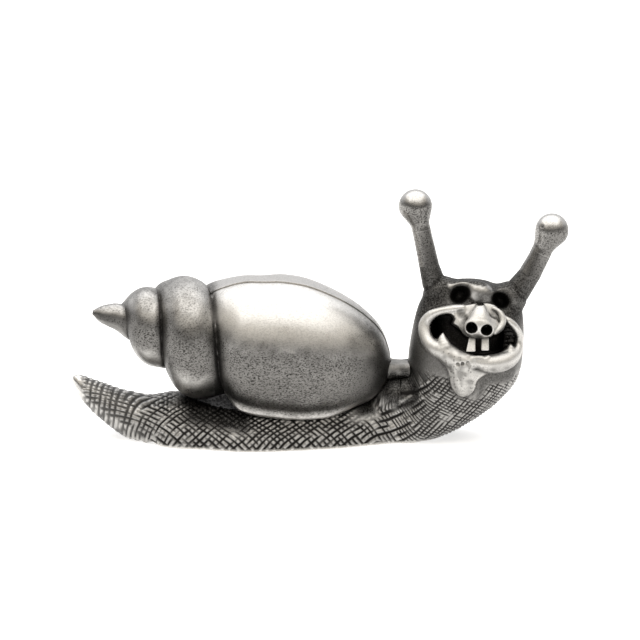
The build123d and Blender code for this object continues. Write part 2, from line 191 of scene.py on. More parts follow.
class Profile:
    """Smooth curves through the rows of a given table, read at any place."""

    def __init__(self, rows: list[tuple[float, ...]]) -> None:
        """Works out the curves once, at evenly spaced places."""
        table = np.array(rows)
        self.places = np.linspace(table[0, 0], table[-1, 0], CURVE_SAMPLES)
        last = len(table) - 2
        index = np.clip(np.searchsorted(table[:, 0], self.places, side="left") - 1, 0, last)
        before, after = table[np.maximum(index - 1, 0)], table[np.minimum(index + 2, last + 1)]
        start, end = table[index], table[index + 1]
        span = (end - start)[:, :1]
        part = (self.places[:, None] - start[:, :1]) / span
        slope_in = (end - before) / np.maximum((end - before)[:, :1], span) * span
        slope_out = (after - start) / np.maximum((after - start)[:, :1], span) * span
        self.columns = cubic_between(start, end, slope_in, slope_out, part)

    def __call__(self, place: Array) -> list[Array]:
        """The values of every column at those places."""
        return [np.interp(place, self.places, column) for column in self.columns.T[1:]]


@dataclass
class Surface:
    """A closed mesh in millimetres, with values at its points."""

    points: Array
    quads: Array
    triangles: Array = field(default_factory=lambda: np.zeros((0, 3), int))
    values: dict[str, Array] = field(default_factory=dict)

    def sides(self) -> tuple[Array, Array]:
        """Both ends of every side of every face."""
        starts = np.concatenate([self.quads.ravel(), self.triangles.ravel()])
        ends = np.concatenate([np.roll(faces, -1, 1).ravel() for faces in (self.quads, self.triangles)])
        return starts, ends

    def normals(self) -> Array:
        """Outward direction at each point."""
        total = np.zeros_like(self.points)
        for faces in (self.quads, self.triangles):
            if len(faces):
                corner = self.points[faces]
                facing = np.cross(corner[:, 2] - corner[:, 0], corner[:, -1] - corner[:, 1])
                for axis in range(3):
                    weight = np.repeat(facing[:, axis], faces.shape[1])
                    total[:, axis] += np.bincount(faces.ravel(), weight, len(self.points))
        return total / np.maximum(np.linalg.norm(total, axis=1, keepdims=True), 1e-12)

    def outward(self) -> "Surface":
        """The same surface with its faces turned outwards."""
        volume = 0.0
        for faces in (self.quads, self.triangles):
            for column in range(1, faces.shape[1] - 1):
                first, second, third = (self.points[faces[:, place]] for place in (0, column, column + 1))
                volume += np.einsum("ij,ij->", first, np.cross(second, third))
        if volume < 0:
            self.quads, self.triangles = self.quads[:, ::-1], self.triangles[:, ::-1]
        return self

    def hollowness(self, rounds: int, pull: float = 0.7) -> Array:
        """How far each point lies under the surface smoothed over so many rounds."""
        starts, ends = self.sides()
        count = len(self.points)
        degree = np.maximum(np.bincount(starts, minlength=count) + np.bincount(ends, minlength=count), 1)
        smooth = self.points.copy()
        for _ in range(rounds):
            for axis in range(3):
                near = np.bincount(starts, smooth[ends, axis], count)
                near += np.bincount(ends, smooth[starts, axis], count)
                smooth[:, axis] = (1.0 - pull) * smooth[:, axis] + pull * near / degree
        return np.einsum("ij,ij->i", smooth - self.points, self.normals())

    def mesh(self, name: str) -> bpy.types.Mesh:
        """A Blender mesh of the surface, smooth shaded, in metres."""
        mesh = bpy.data.meshes.new(name)
        corners = np.concatenate([self.quads.ravel(), self.triangles.ravel()]).astype(np.int32)
        sizes = np.repeat([4, 3], [len(self.quads), len(self.triangles)]).astype(np.int32)
        starts = (np.cumsum(sizes) - sizes).astype(np.int32)
        mesh.vertices.add(len(self.points))
        mesh.vertices.foreach_set("co", (self.points * MM).astype(np.float32).ravel())
        mesh.loops.add(len(corners))
        mesh.loops.foreach_set("vertex_index", corners)
        mesh.polygons.add(len(sizes))
        mesh.polygons.foreach_set("loop_start", starts)
        mesh.polygons.foreach_set("use_smooth", np.ones(len(sizes), bool))
        mesh.update(calc_edges=True)
        mesh.set_sharp_from_angle(angle=CRISP)
        for key, value in self.values.items():
            kind, slot = ("FLOAT", "value") if value.ndim == 1 else ("FLOAT_VECTOR", "vector")
            store = mesh.attributes.new(key, kind, "POINT")
            store.data.foreach_set(slot, value.astype(np.float32).ravel())
        mesh.validate()
        return mesh


def sample(form: Form, points: Array) -> Array:
    """A form's distance at many points, a slab at a time."""
    parts = [form(points[start:start + SLAB_POINTS]) for start in range(0, len(points), SLAB_POINTS)]
    return np.concatenate(parts)


def skin(form: Form, low: Array, high: Array, pitch: float) -> Surface:
    """The surface of a form inside a box, as a net of quads.

    Args:
        form: gives the distance of points from the surface, below nought inside.
        low: lowest corner of the box.
        high: highest corner of the box.
        pitch: size of the net.

    Returns:
        The net, drawn onto the form.
    """
    low = np.asarray(low, float)
    blocks = np.ceil((np.asarray(high, float) - low) / (pitch * BLOCK)).astype(int)
    counts = blocks * BLOCK + 1
    corners = np.stack(np.indices(blocks + 1), axis=-1).reshape(-1, 3)
    rough = sample(form, low + pitch * BLOCK * corners).reshape(blocks + 1)
    close = np.abs(rough) < pitch * BLOCK * BAND
    offsets = np.array([[i, j, k] for i in (0, 1) for j in (0, 1) for k in (0, 1)])
    near = np.zeros(blocks, bool)
    for i, j, k in offsets:
        near |= close[i:i + blocks[0], j:j + blocks[1], k:k + blocks[2]]
    values = np.ones(counts)
    fine = np.zeros(counts, bool)
    spread_out = np.ones((BLOCK,) * 3, bool)
    fine[:-1, :-1, :-1] = np.kron(near, spread_out)
    values[:-1, :-1, :-1] = np.kron(rough[:-1, :-1, :-1], spread_out)
    for axis in range(3):
        ahead = np.moveaxis(fine, axis, 0)
        ahead[1:] |= ahead[:-1].copy()
    values[fine] = sample(form, low + pitch * np.argwhere(fine))
    inside = values < 0
    cells = counts - 1
    filled = np.zeros(cells, np.int8)
    for i, j, k in offsets:
        filled += inside[i:i + cells[0], j:j + cells[1], k:k + cells[2]]
    active = (filled > 0) & (filled < 8)
    number = np.full(cells, -1)
    number[active] = np.arange(active.sum())
    where = np.argwhere(active)
    total, crossings = np.zeros((len(where), 3)), np.zeros(len(where))
    for start in offsets:
        for axis in np.flatnonzero(start == 0):
            end = start.copy()
            end[axis] = 1
            first, last = values[tuple((where + start).T)], values[tuple((where + end).T)]
            crossed = (first < 0) != (last < 0)
            part = np.where(crossed, first / np.where(crossed, first - last, 1.0), 0.0)
            total += crossed[:, None] * (start + part[:, None] * (end - start))
            crossings += crossed
    points = low + pitch * (where + total / crossings[:, None])
    quads = []
    for axis in range(3):
        one, two = (axis + 1) % 3, (axis + 2) % 3
        first = np.moveaxis(inside, axis, 0)[:-1]
        last = np.moveaxis(inside, axis, 0)[1:]
        edges = np.argwhere(first != last)
        order = [axis] + [other for other in range(3) if other != axis]
        place = np.empty_like(edges)
        place[:, order] = edges
        keep = (place[:, one] > 0) & (place[:, two] > 0)
        keep &= (place[:, one] < cells[one]) & (place[:, two] < cells[two])
        place = place[keep]
        around = []
        for back_one, back_two in ((1, 1), (0, 1), (0, 0), (1, 0)):
            cell = place.copy()
            cell[:, one] -= back_one
            cell[:, two] -= back_two
            around.append(number[tuple(cell.T)])
        ring = np.stack(around, axis=1)
        outward = inside[tuple(place.T)]
        quads.append(np.where(outward[:, None], ring, ring[:, ::-1]))
    net = Surface(points, np.concatenate(quads))
    step = pitch / 5
    for _ in range(DRAWS):
        base = sample(form, net.points)
        slope = np.stack([sample(form, net.points + step * way) - base for way in np.eye(3)], 1) / step
        move = base / np.maximum(np.einsum("ij,ij->i", slope, slope), GENTLEST)
        net.points -= np.clip(move, -pitch / 2, pitch / 2)[:, None] * slope
    return net.outward()


def sheet_faces(rows: int, columns: int, wraps: bool) -> Array:
    """Quads of a sheet of points, row by row, closed round its columns or open."""
    index = np.arange(rows * columns).reshape(rows, columns)
    beside = np.roll(index, -1, axis=1) if wraps else index[:, 1:]
    here = index if wraps else index[:, :-1]
    return np.stack([here[:-1], here[1:], beside[1:], beside[:-1]], axis=-1).reshape(-1, 4)


def capped_tube(rows: Array, first_cap: Array, last_cap: Array) -> Surface:
    """A tube of rings, each cap drawn to one point."""
    count, columns = rows.shape[:2]
    points = np.concatenate([rows.reshape(-1, 3), [first_cap, last_cap]])
    ring = np.arange(columns)
    after = np.roll(ring, -1)
    last = (count - 1) * columns
    start_fan = np.stack([np.full(columns, count * columns), ring, after], axis=1)
    end_fan = np.stack([np.full(columns, count * columns + 1), last + after, last + ring], axis=1)
    fans = np.concatenate([start_fan, end_fan])
    return Surface(points, sheet_faces(count, columns, wraps=True), fans).outward()


class Wire:
    """A value in a node tree, whose arithmetic adds Math nodes."""

    def __init__(self, graph: "Graph", socket: bpy.types.NodeSocket) -> None:
        """Holds the socket that gives the value."""
        self.graph, self.socket = graph, socket

    def __add__(self, other: "Wire | float") -> "Wire":
        """Sum of two values."""
        return self.graph.math("ADD", self, other)

    def __sub__(self, other: "Wire | float") -> "Wire":
        """Difference of two values."""
        return self.graph.math("SUBTRACT", self, other)

    def __rsub__(self, other: float) -> "Wire":
        """A number less this value."""
        return self.graph.math("SUBTRACT", other, self)

    def __mul__(self, other: "Wire | float") -> "Wire":
        """Product of two values."""
        return self.graph.math("MULTIPLY", self, other)

    def __truediv__(self, other: "Wire | float") -> "Wire":
        """Quotient of two values."""
        return self.graph.math("DIVIDE", self, other)


class Graph:
    """A node tree that is built by short calls."""

    def __init__(self, tree: bpy.types.NodeTree) -> None:
        """Starts from an emptied tree."""
        self.tree = tree
        tree.nodes.clear()

    @classmethod
    def of_material(cls, name: str) -> "tuple[bpy.types.Material, Graph]":
        """A new material, and the emptied tree of its nodes."""
        material = bpy.data.materials.new(name)
        material.use_nodes = True
        return material, cls(material.node_tree)

    def node(self, kind: str, inputs: dict | None = None, **settings: object) -> bpy.types.Node:
        """Adds a node, with its settings and its inputs by name or number."""
        node = self.tree.nodes.new(kind)
        for key, value in settings.items():
            setattr(node, key, value)
        for key, value in (inputs or {}).items():
            self.feed(value, node.inputs[key])
        return node

    def feed(self, value: object, socket: bpy.types.NodeSocket) -> None:
        """Links a wire to a socket, or sets the socket to a constant."""
        if isinstance(value, Wire):
            self.tree.links.new(value.socket, socket)
        else:
            socket.default_value = value

    def wire(self, kind: str, output: str | int, inputs: dict | None = None, **settings: object) -> Wire:
        """Adds a node and gives one of its outputs."""
        return Wire(self, self.node(kind, inputs, **settings).outputs[output])

    def math(self, operation: str, *values: "Wire | float") -> Wire:
        """Adds a Math node."""
        return self.wire("ShaderNodeMath", 0, dict(enumerate(values)), operation=operation)

    def vector(self, operation: str, *values: object) -> Wire:
        """Adds a Vector Math node."""
        return self.wire("ShaderNodeVectorMath", 0, dict(enumerate(values)), operation=operation)

    def ease(self, value: Wire, start: "Wire | float", end: "Wire | float") -> Wire:
        """Nought at start, one at end, and smooth between them."""
        inputs = {0: value, 1: start, 2: end}
        return self.wire("ShaderNodeMapRange", 0, inputs, interpolation_type="SMOOTHSTEP")

    def blend(self, share: Wire, first: object, second: object) -> Wire:
        """A colour between two colours."""
        return self.wire("ShaderNodeMix", 2, {0: share, 6: first, 7: second}, data_type="RGBA")

    def noise(self, place: Wire, scale: float, detail: float) -> Wire:
        """Noise about a half, finer for a larger scale."""
        return self.wire("ShaderNodeTexNoise", 0, {"Vector": place, "Scale": scale, "Detail": detail})

    def xyz(self, *values: "Wire | float") -> Wire:
        """A vector of up to three values."""
        return self.wire("ShaderNodeCombineXYZ", 0, dict(enumerate(values)))

    def metal(self, **inputs: object) -> None:
        """Ends the tree of a material with bare metal."""
        named = {key.replace("_", " "): value for key, value in inputs.items()}
        shader = self.node("ShaderNodeBsdfPrincipled", {"Metallic": 1.0, **named})
        self.node("ShaderNodeOutputMaterial", {"Surface": Wire(self, shader.outputs[0])})


def show(name: str, data: bpy.types.ID) -> bpy.types.Object:
    """A new object of that mesh, camera or lamp, in the scene."""
    made = bpy.data.objects.new(name, data)
    bpy.context.scene.collection.objects.link(made)
    return made


def per_metre(pitch: float) -> float:
    """Scale of a noise whose features are about one pitch across."""
    return 1.0 / (pitch * MM)


@dataclass(frozen=True)
class PewterFinish:
    """Cast pewter, blackened in its hollows and rubbed bright on its high places; the same values also carry
    painted shade and painted light.
    """

    name: str
    # The pale colour stands for rubbed metal and for painted light; the dull and black colours stand for
    # patina and for painted shade.
    pale_metal: Triple = (0.70, 0.685, 0.66)
    worn: Triple = (0.20, 0.194, 0.185)
    black: Triple = (0.018, 0.017, 0.016)
    rub_and_light_share: float = 0.7
    speckle: float = 0.5
    speckle_pitch: float = 0.20
    speckle_range: Pair = (0.36, 0.78)
    speckle_reach: float = 1.32
    sand_size: float = 0.45
    sand_share: float = 0.6
    mottle_pitch: float = 3.2
    mottle_share: float = 0.4
    mottle_in_speckle: float = 0.2
    grain_in_patina_and_shade: float = 0.6
    brushed: float = 1.0
    bright_roughness: float = 0.24
    dull_roughness: float = 0.55
    uneven_roughness: float = 0.12
    pit_depth: float = 0.02
    pit_strength: float = 0.6

    def material(self) -> bpy.types.Material:
        """The finish as a node material."""
        material, graph = Graph.of_material(self.name)
        place = graph.wire("ShaderNodeTexCoord", "Object")
        strokes = graph.wire("ShaderNodeMapping", 0, {"Vector": place, "Scale": (self.brushed, 1.0, 1.0)})
        patina_and_shade, rub_and_light, engraving = (
            graph.wire("ShaderNodeAttribute", "Fac", attribute_name=key)
            for key in ("patina_and_shade", "rub_and_light", "engraving"))
        grain = graph.noise(strokes, per_metre(self.speckle_pitch), 2.0)
        sand = graph.noise(strokes, per_metre(self.speckle_pitch * self.sand_size), 1.0)
        mottle = graph.noise(place, per_metre(self.mottle_pitch), 4.0) - 0.5
        fleck = grain + (sand - 0.5) * self.sand_share + mottle * self.mottle_in_speckle
        # Tone rises with rubbing and with painted light.
        tone = graph.ease(rub_and_light * self.rub_and_light_share + mottle * self.mottle_share, 0.0, 1.0)
        metal = graph.blend(tone, (*self.worn, SOLID), (*self.pale_metal, SOLID))
        dirt = graph.ease(fleck, *self.speckle_range) * self.speckle * (self.speckle_reach - tone)
        # Patina of the hollows and painted shade, with the cut lines.
        hollow = graph.math("MAXIMUM", patina_and_shade + (grain - 0.5) * patina_and_shade * self.grain_in_patina_and_shade, engraving)
        dark = graph.math("MAXIMUM", dirt, hollow)
        dark.socket.node.use_clamp = True
        bright, dull = ((rough,) * 3 + (SOLID,) for rough in (self.bright_roughness, self.dull_roughness))
        sheen = graph.wire("ShaderNodeSeparateColor", 0, {0: graph.blend(dark, bright, dull)})
        bump = graph.wire("ShaderNodeBump", 0, {
            "Strength": self.pit_strength, "Distance": self.pit_depth * MM,
            "Height": (grain + sand) * -1.0 * self.speckle})
        graph.metal(Base_Color=graph.blend(dark, metal, (*self.black, SOLID)),
                    Roughness=sheen + mottle * self.uneven_roughness, Normal=bump)
        return material


@dataclass(frozen=True)
class PegFinish:
    """Drawn brass wire with fine marks."""

    name: str = "drawn_brass"
    colour: Triple = (0.62, 0.46, 0.20)
    tarnish: Triple = (0.30, 0.21, 0.09)
    mark_pitch: float = 0.4
    least_roughness: float = 0.25
    mark_roughness: float = 0.3

    def material(self) -> bpy.types.Material:
        """The finish as a node material."""
        material, graph = Graph.of_material(self.name)
        marks = graph.noise(graph.wire("ShaderNodeTexCoord", "Object"), per_metre(self.mark_pitch), 3.0)
        graph.metal(Base_Color=graph.blend(marks, (*self.colour, SOLID), (*self.tarnish, SOLID)),
                    Roughness=marks * self.mark_roughness + self.least_roughness)
        return material


@dataclass
class NodeTool:
    """A Geometry Nodes tree with named inputs, run once on a mesh."""

    name: str
    inputs: dict[str, float]

    def start(self) -> tuple[Graph, dict[str, Wire]]:
        """An empty tree with its interface, and a wire for each of its inputs."""
        tree = bpy.data.node_groups.new(self.name, "GeometryNodeTree")
        tree.interface.new_socket("Geometry", in_out="INPUT", socket_type="NodeSocketGeometry")
        tree.interface.new_socket("Geometry", in_out="OUTPUT", socket_type="NodeSocketGeometry")
        for key, value in self.inputs.items():
            socket = tree.interface.new_socket(key, in_out="INPUT", socket_type="NodeSocketFloat")
            socket.default_value = value
        graph = Graph(tree)
        source = graph.node("NodeGroupInput")
        wires = {key: Wire(graph, source.outputs[key]) for key in ["Geometry", *self.inputs]}
        return graph, wires

    @staticmethod
    def end(graph: Graph, shape: Wire, material: bpy.types.Material) -> bpy.types.NodeTree:
        """Realizes what the tree made and gives it its material."""
        real = graph.wire("GeometryNodeRealizeInstances", 0, {0: shape})
        dressed = graph.wire("GeometryNodeSetMaterial", 0, {"Geometry": real, "Material": material})
        graph.node("NodeGroupOutput", {0: dressed})
        return graph.tree

    @staticmethod
    def named(graph: Graph, key: str, kind: str = "FLOAT") -> Wire:
        """A value stored on the mesh."""
        return graph.wire("GeometryNodeInputNamedAttribute", 0, {0: key}, data_type=kind)

    @staticmethod
    def store(graph: Graph, shape: Wire, key: str, value: Wire) -> Wire:
        """Stores a value at each point of a mesh."""
        inputs = {"Geometry": shape, "Name": key, "Value": value}
        return graph.wire("GeometryNodeStoreNamedAttribute", 0, inputs, data_type="FLOAT", domain="POINT")

    def run(self, piece: bpy.types.Object, tree: bpy.types.NodeTree) -> None:
        """Runs the tree on a piece and leaves a plain mesh."""
        modifier = piece.modifiers.new(self.name, "NODES")
        modifier.node_group = tree
        for item in tree.interface.items_tree:
            if item.in_out == "INPUT" and item.name in self.inputs:
                modifier[item.identifier] = float(self.inputs[item.name])
        bpy.context.view_layer.update()
        seen = piece.evaluated_get(bpy.context.evaluated_depsgraph_get())
        mesh = bpy.data.meshes.new_from_object(seen)
        piece.modifiers.remove(modifier)
        piece.data = mesh


class Engraver(NodeTool):
    """Cuts two crossing families of hand-cut lines into a surface."""

    waves: float = 260.0  # waviness of the lines, in waves a metre
    line_apart: float = 3.7  # keeps the strokes of neighbouring lines apart in the noise
    press_range: Pair = (0.28, 0.52)
    width_share: Pair = (0.35, 0.5)  # of the lightest line, and more for the deepest
    depth_share: Pair = (0.3, 0.7)
    flat_share: float = 0.25  # of half a line's width
    shifts: Pair = (0.0, 11.0)  # keeps the two families apart in the noise
    strokes: Pair = (0.22, 0.40)  # breaks in the lines of each family

    def __init__(self) -> None:
        """Sets the sizes of the cut lines."""
        super().__init__("crosshatch_engraver", {
            "Pitch": 0.76, "Line width": 0.40, "Depth": 0.15 * MM, "Wander": 1.0, "Seed": 7.0})

    def family(self, graph: Graph, sizes: dict[str, Wire], across: Wire, along: Wire, number: int) -> Wire:
        """One family of lines, one on a line and nought between, broken into shorter or longer strokes.

        Args:
            graph: tree that the lines are added to.
            sizes: inputs of the tree.
            across: value that counts the lines.
            along: value that runs along each line.
            number: which family it is, nought or one.

        Returns:
            How deep the lines are at each point, from nought to one.
        """
        shift = self.shifts[number]
        place = graph.wire("GeometryNodeInputPosition", 0)
        drift = graph.noise(graph.vector("ADD", place, graph.xyz(sizes["Seed"], shift)), self.waves, 2.0)
        count = across / sizes["Pitch"] + (drift - 0.5) * sizes["Wander"]
        line = graph.math("ROUND", count)
        gap = graph.math("ABSOLUTE", count - line) * sizes["Pitch"]
        stroke = graph.xyz(line * self.line_apart + shift, along * self.strokes[number], sizes["Seed"])
        deep = graph.ease(graph.noise(stroke, 1.0, 1.0), *self.press_range)
        half = sizes["Line width"] * (deep * self.width_share[1] + self.width_share[0])
        shape = 1.0 - graph.ease(gap, half * self.flat_share, half)
        return shape * (deep * self.depth_share[1] + self.depth_share[0])

    def engrave(self, piece: bpy.types.Object, material: bpy.types.Material) -> None:
        """Cuts the lines into a piece that holds its hatch values."""
        graph, sizes = self.start()
        parts = graph.node("ShaderNodeSeparateXYZ", {0: self.named(graph, "hatch", "FLOAT_VECTOR")})
        first, second, shown = (Wire(graph, parts.outputs[axis]) for axis in range(3))
        crossing = self.family(graph, sizes, second, first, 1) * self.named(graph, "crossing")
        lines = graph.math("MAXIMUM", self.family(graph, sizes, first, second, 0), crossing) * shown
        sink = graph.vector("SCALE", graph.wire("GeometryNodeInputNormal", 0))
        graph.feed(lines * sizes["Depth"] * -1.0, sink.socket.node.inputs["Scale"])
        moved = graph.wire("GeometryNodeSetPosition", 0, {"Geometry": sizes["Geometry"], "Offset": sink})
        self.run(piece, self.end(graph, self.store(graph, moved, "engraving", lines), material))


@dataclass
class Slug:
    """Forms of the soft body: foot, neck and hood, before the face is cut."""

    tail_reach: float = 32.2
    toe_reach: float = 15.54
    foot_half_width: float = 9.0
    foot_height: float = 5.4
    tail_lift: float = 8.2
    neck_x: float = 23.485
    neck_half_width: float = 8.07
    neck_half_depth: float = 6.5
    head_rise: float = 22.7
    head_slope: float = 0.06
    joint_x: float = 14.135
    fold: float = 2.6
    end_round: float = 0.4
    crown_round: float = 1.2
    sole_round: float = 0.12
    over_foot: float = 0.8
    over_foot_ends: Pair = (9.0, 17.0)

    def __post_init__(self) -> None:
        """Reads the tables of sections, all in shares of the sizes above."""
        self.foot_profile = Profile([
            (0.000, 1.000, 0.090, 0.044), (0.019, 0.893, 0.290, 0.144), (0.050, 0.750, 0.425, 0.222),
            (0.090, 0.598, 0.528, 0.300), (0.136, 0.444, 0.602, 0.378), (0.184, 0.326, 0.662, 0.467),
            (0.229, 0.232, 0.722, 0.578), (0.296, 0.146, 0.919, 0.778), (0.379, 0.098, 0.926, 0.856),
            (0.527, 0.061, 0.907, 1.000), (0.763, 0.061, 0.907, 0.822), (0.883, 0.049, 0.926, 0.611),
            (1.000, 0.037, 0.926, 0.400)])
        self.neck_profile = Profile([
            (0.000, -0.970, 0.520, 0.55, 0.55), (0.048, -0.790, 0.640, 0.71, 0.70),
            (0.150, -0.495, 0.806, 0.83, 0.78), (0.238, -0.285, 0.892, 0.93, 0.83),
            (0.370, -0.076, 0.973, 1.05, 0.88), (0.573, 0.000, 0.998, 1.00, 0.92),
            (0.793, 0.050, 0.930, 0.74, 0.88), (0.903, 0.064, 0.815, 0.51, 0.70),
            (0.969, 0.055, 0.632, 0.34, 0.50), (1.000, 0.067, 0.372, 0.18, 0.27)])

    def foot_section(self, x: Array) -> tuple[Array, Array, Array]:
        """Height of the middle, half height and half width of the foot's section."""
        middle, height, width = self.foot_profile((x + self.tail_reach) / (self.tail_reach + self.toe_reach))
        return middle * self.tail_lift, height * self.foot_height, width * self.foot_half_width

    def foot(self, points: Array) -> Array:
        """Distance from the foot's form."""
        x, y, z = points.T
        middle, height, width = self.foot_section(x)
        side = egg_distance(y, z - middle, width, height)
        ends = np.maximum(-self.tail_reach - x, x - self.toe_reach)
        return overlap(side, ends, self.end_round)

    def neck(self, points: Array) -> Array:
        """Distance from the neck and hood."""
        x, y, z = points.T
        shift, width, front, back = self.neck_profile(z / self.head_rise)
        depth = np.where(y < 0, front, back) * self.neck_half_depth
        middle = self.neck_x + shift * self.neck_half_width
        side = egg_distance(x - middle, y, width * self.neck_half_width, depth)
        top = self.head_rise - self.head_slope * np.maximum(x - self.neck_x, 0.0) ** 2
        return overlap(side, z - top, self.crown_round)

    def whole(self, points: Array) -> Array:
        """Distance from foot and neck, joined in a smooth fold, on a flat sole."""
        body = join(self.foot(points), self.neck(points), self.fold)
        return overlap(body, -points[:, 2], self.sole_round)

    def hatch(self, points: Array) -> tuple[Array, Array]:
        """Places along the body, wrapped round the neck, and down its side over the skin of the foot."""
        x, y, z = points.T
        middle = self.neck_x + self.neck_profile(z / self.head_rise)[0] * self.neck_half_width
        front = np.maximum(x - middle, 0.0)
        along = x - front + np.hypot(front, y) * np.arctan2(front, np.abs(y))
        return along, self.over_foot * np.abs(y) * fade(x, *self.over_foot_ends) - z


@dataclass
class ShellForm:
    """The rule of the spiral shell."""

    seat: Triple = (-11.64, 0.0, 13.58)
    dip: float = math.radians(9.0)
    body_length: float = 24.8
    spire_length: float = 18.1
    radius: float = 10.06
    growth: float = 1.593
    root: float = 21.67
    groove: float = 0.225
    stair: float = 0.5
    slant: float = math.radians(14.4)
    roll: float = math.radians(12.0)
    groove_start: Pair = (-0.86, -0.74)
    groove_end: Pair = (0.03, 0.30)
    joint_rounds: int = 6

    def __post_init__(self) -> None:
        """Reads the profile, in shares of the lengths and the radius, and sets the axes."""
        self.profile = Profile([
            (-1.000, 0.028, 0.160), (-0.938, 0.112, 0.157), (-0.859, 0.164, 0.158), (-0.781, 0.215, 0.158),
            (-0.727, 0.330, 0.152), (-0.664, 0.438, 0.172), (-0.609, 0.522, 0.180), (-0.531, 0.610, 0.162),
            (-0.445, 0.655, 0.120), (-0.313, 0.800, 0.106), (-0.195, 0.885, 0.086), (0.000, 0.900, 0.042),
            (0.143, 0.960, 0.072), (0.286, 1.000, 0.090), (0.429, 0.998, 0.097), (0.571, 0.940, 0.081),
            (0.714, 0.823, 0.070), (0.829, 0.666, 0.063), (0.914, 0.502, 0.039), (0.971, 0.280, 0.000),
            (1.000, 0.056, 0.000)])
        self.along = np.array([math.cos(self.dip), 0.0, -math.sin(self.dip)])
        self.up = np.array([math.sin(self.dip), 0.0, math.cos(self.dip)])
        self.near = np.array([0.0, -1.0, 0.0])

    def size(self, place: Array) -> tuple[Array, Array]:
        """Radius and lift of the section at distances along the axis."""
        share = place / np.where(place < 0, self.spire_length, self.body_length)
        radius, lift = self.profile(share)
        return radius * self.radius, lift * self.radius

    def shown(self, place: Array) -> Array:
        """How far the spiral groove shows there."""
        share = place / np.where(place < 0, self.spire_length, self.body_length)
        return ease(share, *self.groove_start) * fade(share, *self.groove_end)

    def step(self, place: Array, turn: Array) -> Array:
        """How much fuller than the cone each whorl is, so that whorls are drums and not cones."""
        wound = np.log((place + self.root) / self.root) / math.log(self.growth) - turn / math.tau
        middle = np.floor(wound) + 0.5 + turn / math.tau
        centre = np.clip(self.root * (self.growth**middle - 1.0), -self.spire_length, self.body_length)
        across = 2.0 * (wound - np.floor(wound)) - 1.0
        fuller = self.size(centre)[0] - self.size(place)[0]
        return self.stair * self.shown(place) * fuller * (1.0 - across**2)

    def joint(self, turn: Array) -> Array:
        """Distance along the axis of the joint between spire and large whorl."""
        place = np.zeros_like(turn)
        for _ in range(self.joint_rounds):
            radius, lift = self.size(place)
            place = -(lift - radius * np.sin(turn)) * math.tan(self.slant)
        return place

    def distance(self, points: Array) -> Array:
        """About the distance from the shell without its groove."""
        offset = points - np.array(self.seat)
        place = offset @ self.along
        held = np.clip(place, -self.spire_length, self.body_length)
        radius, lift = self.size(held)
        away = np.hypot(offset @ self.up - lift, offset @ self.near)
        return np.hypot(np.maximum(away - radius, 0.0), place - held) + np.minimum(away - radius, 0.0)


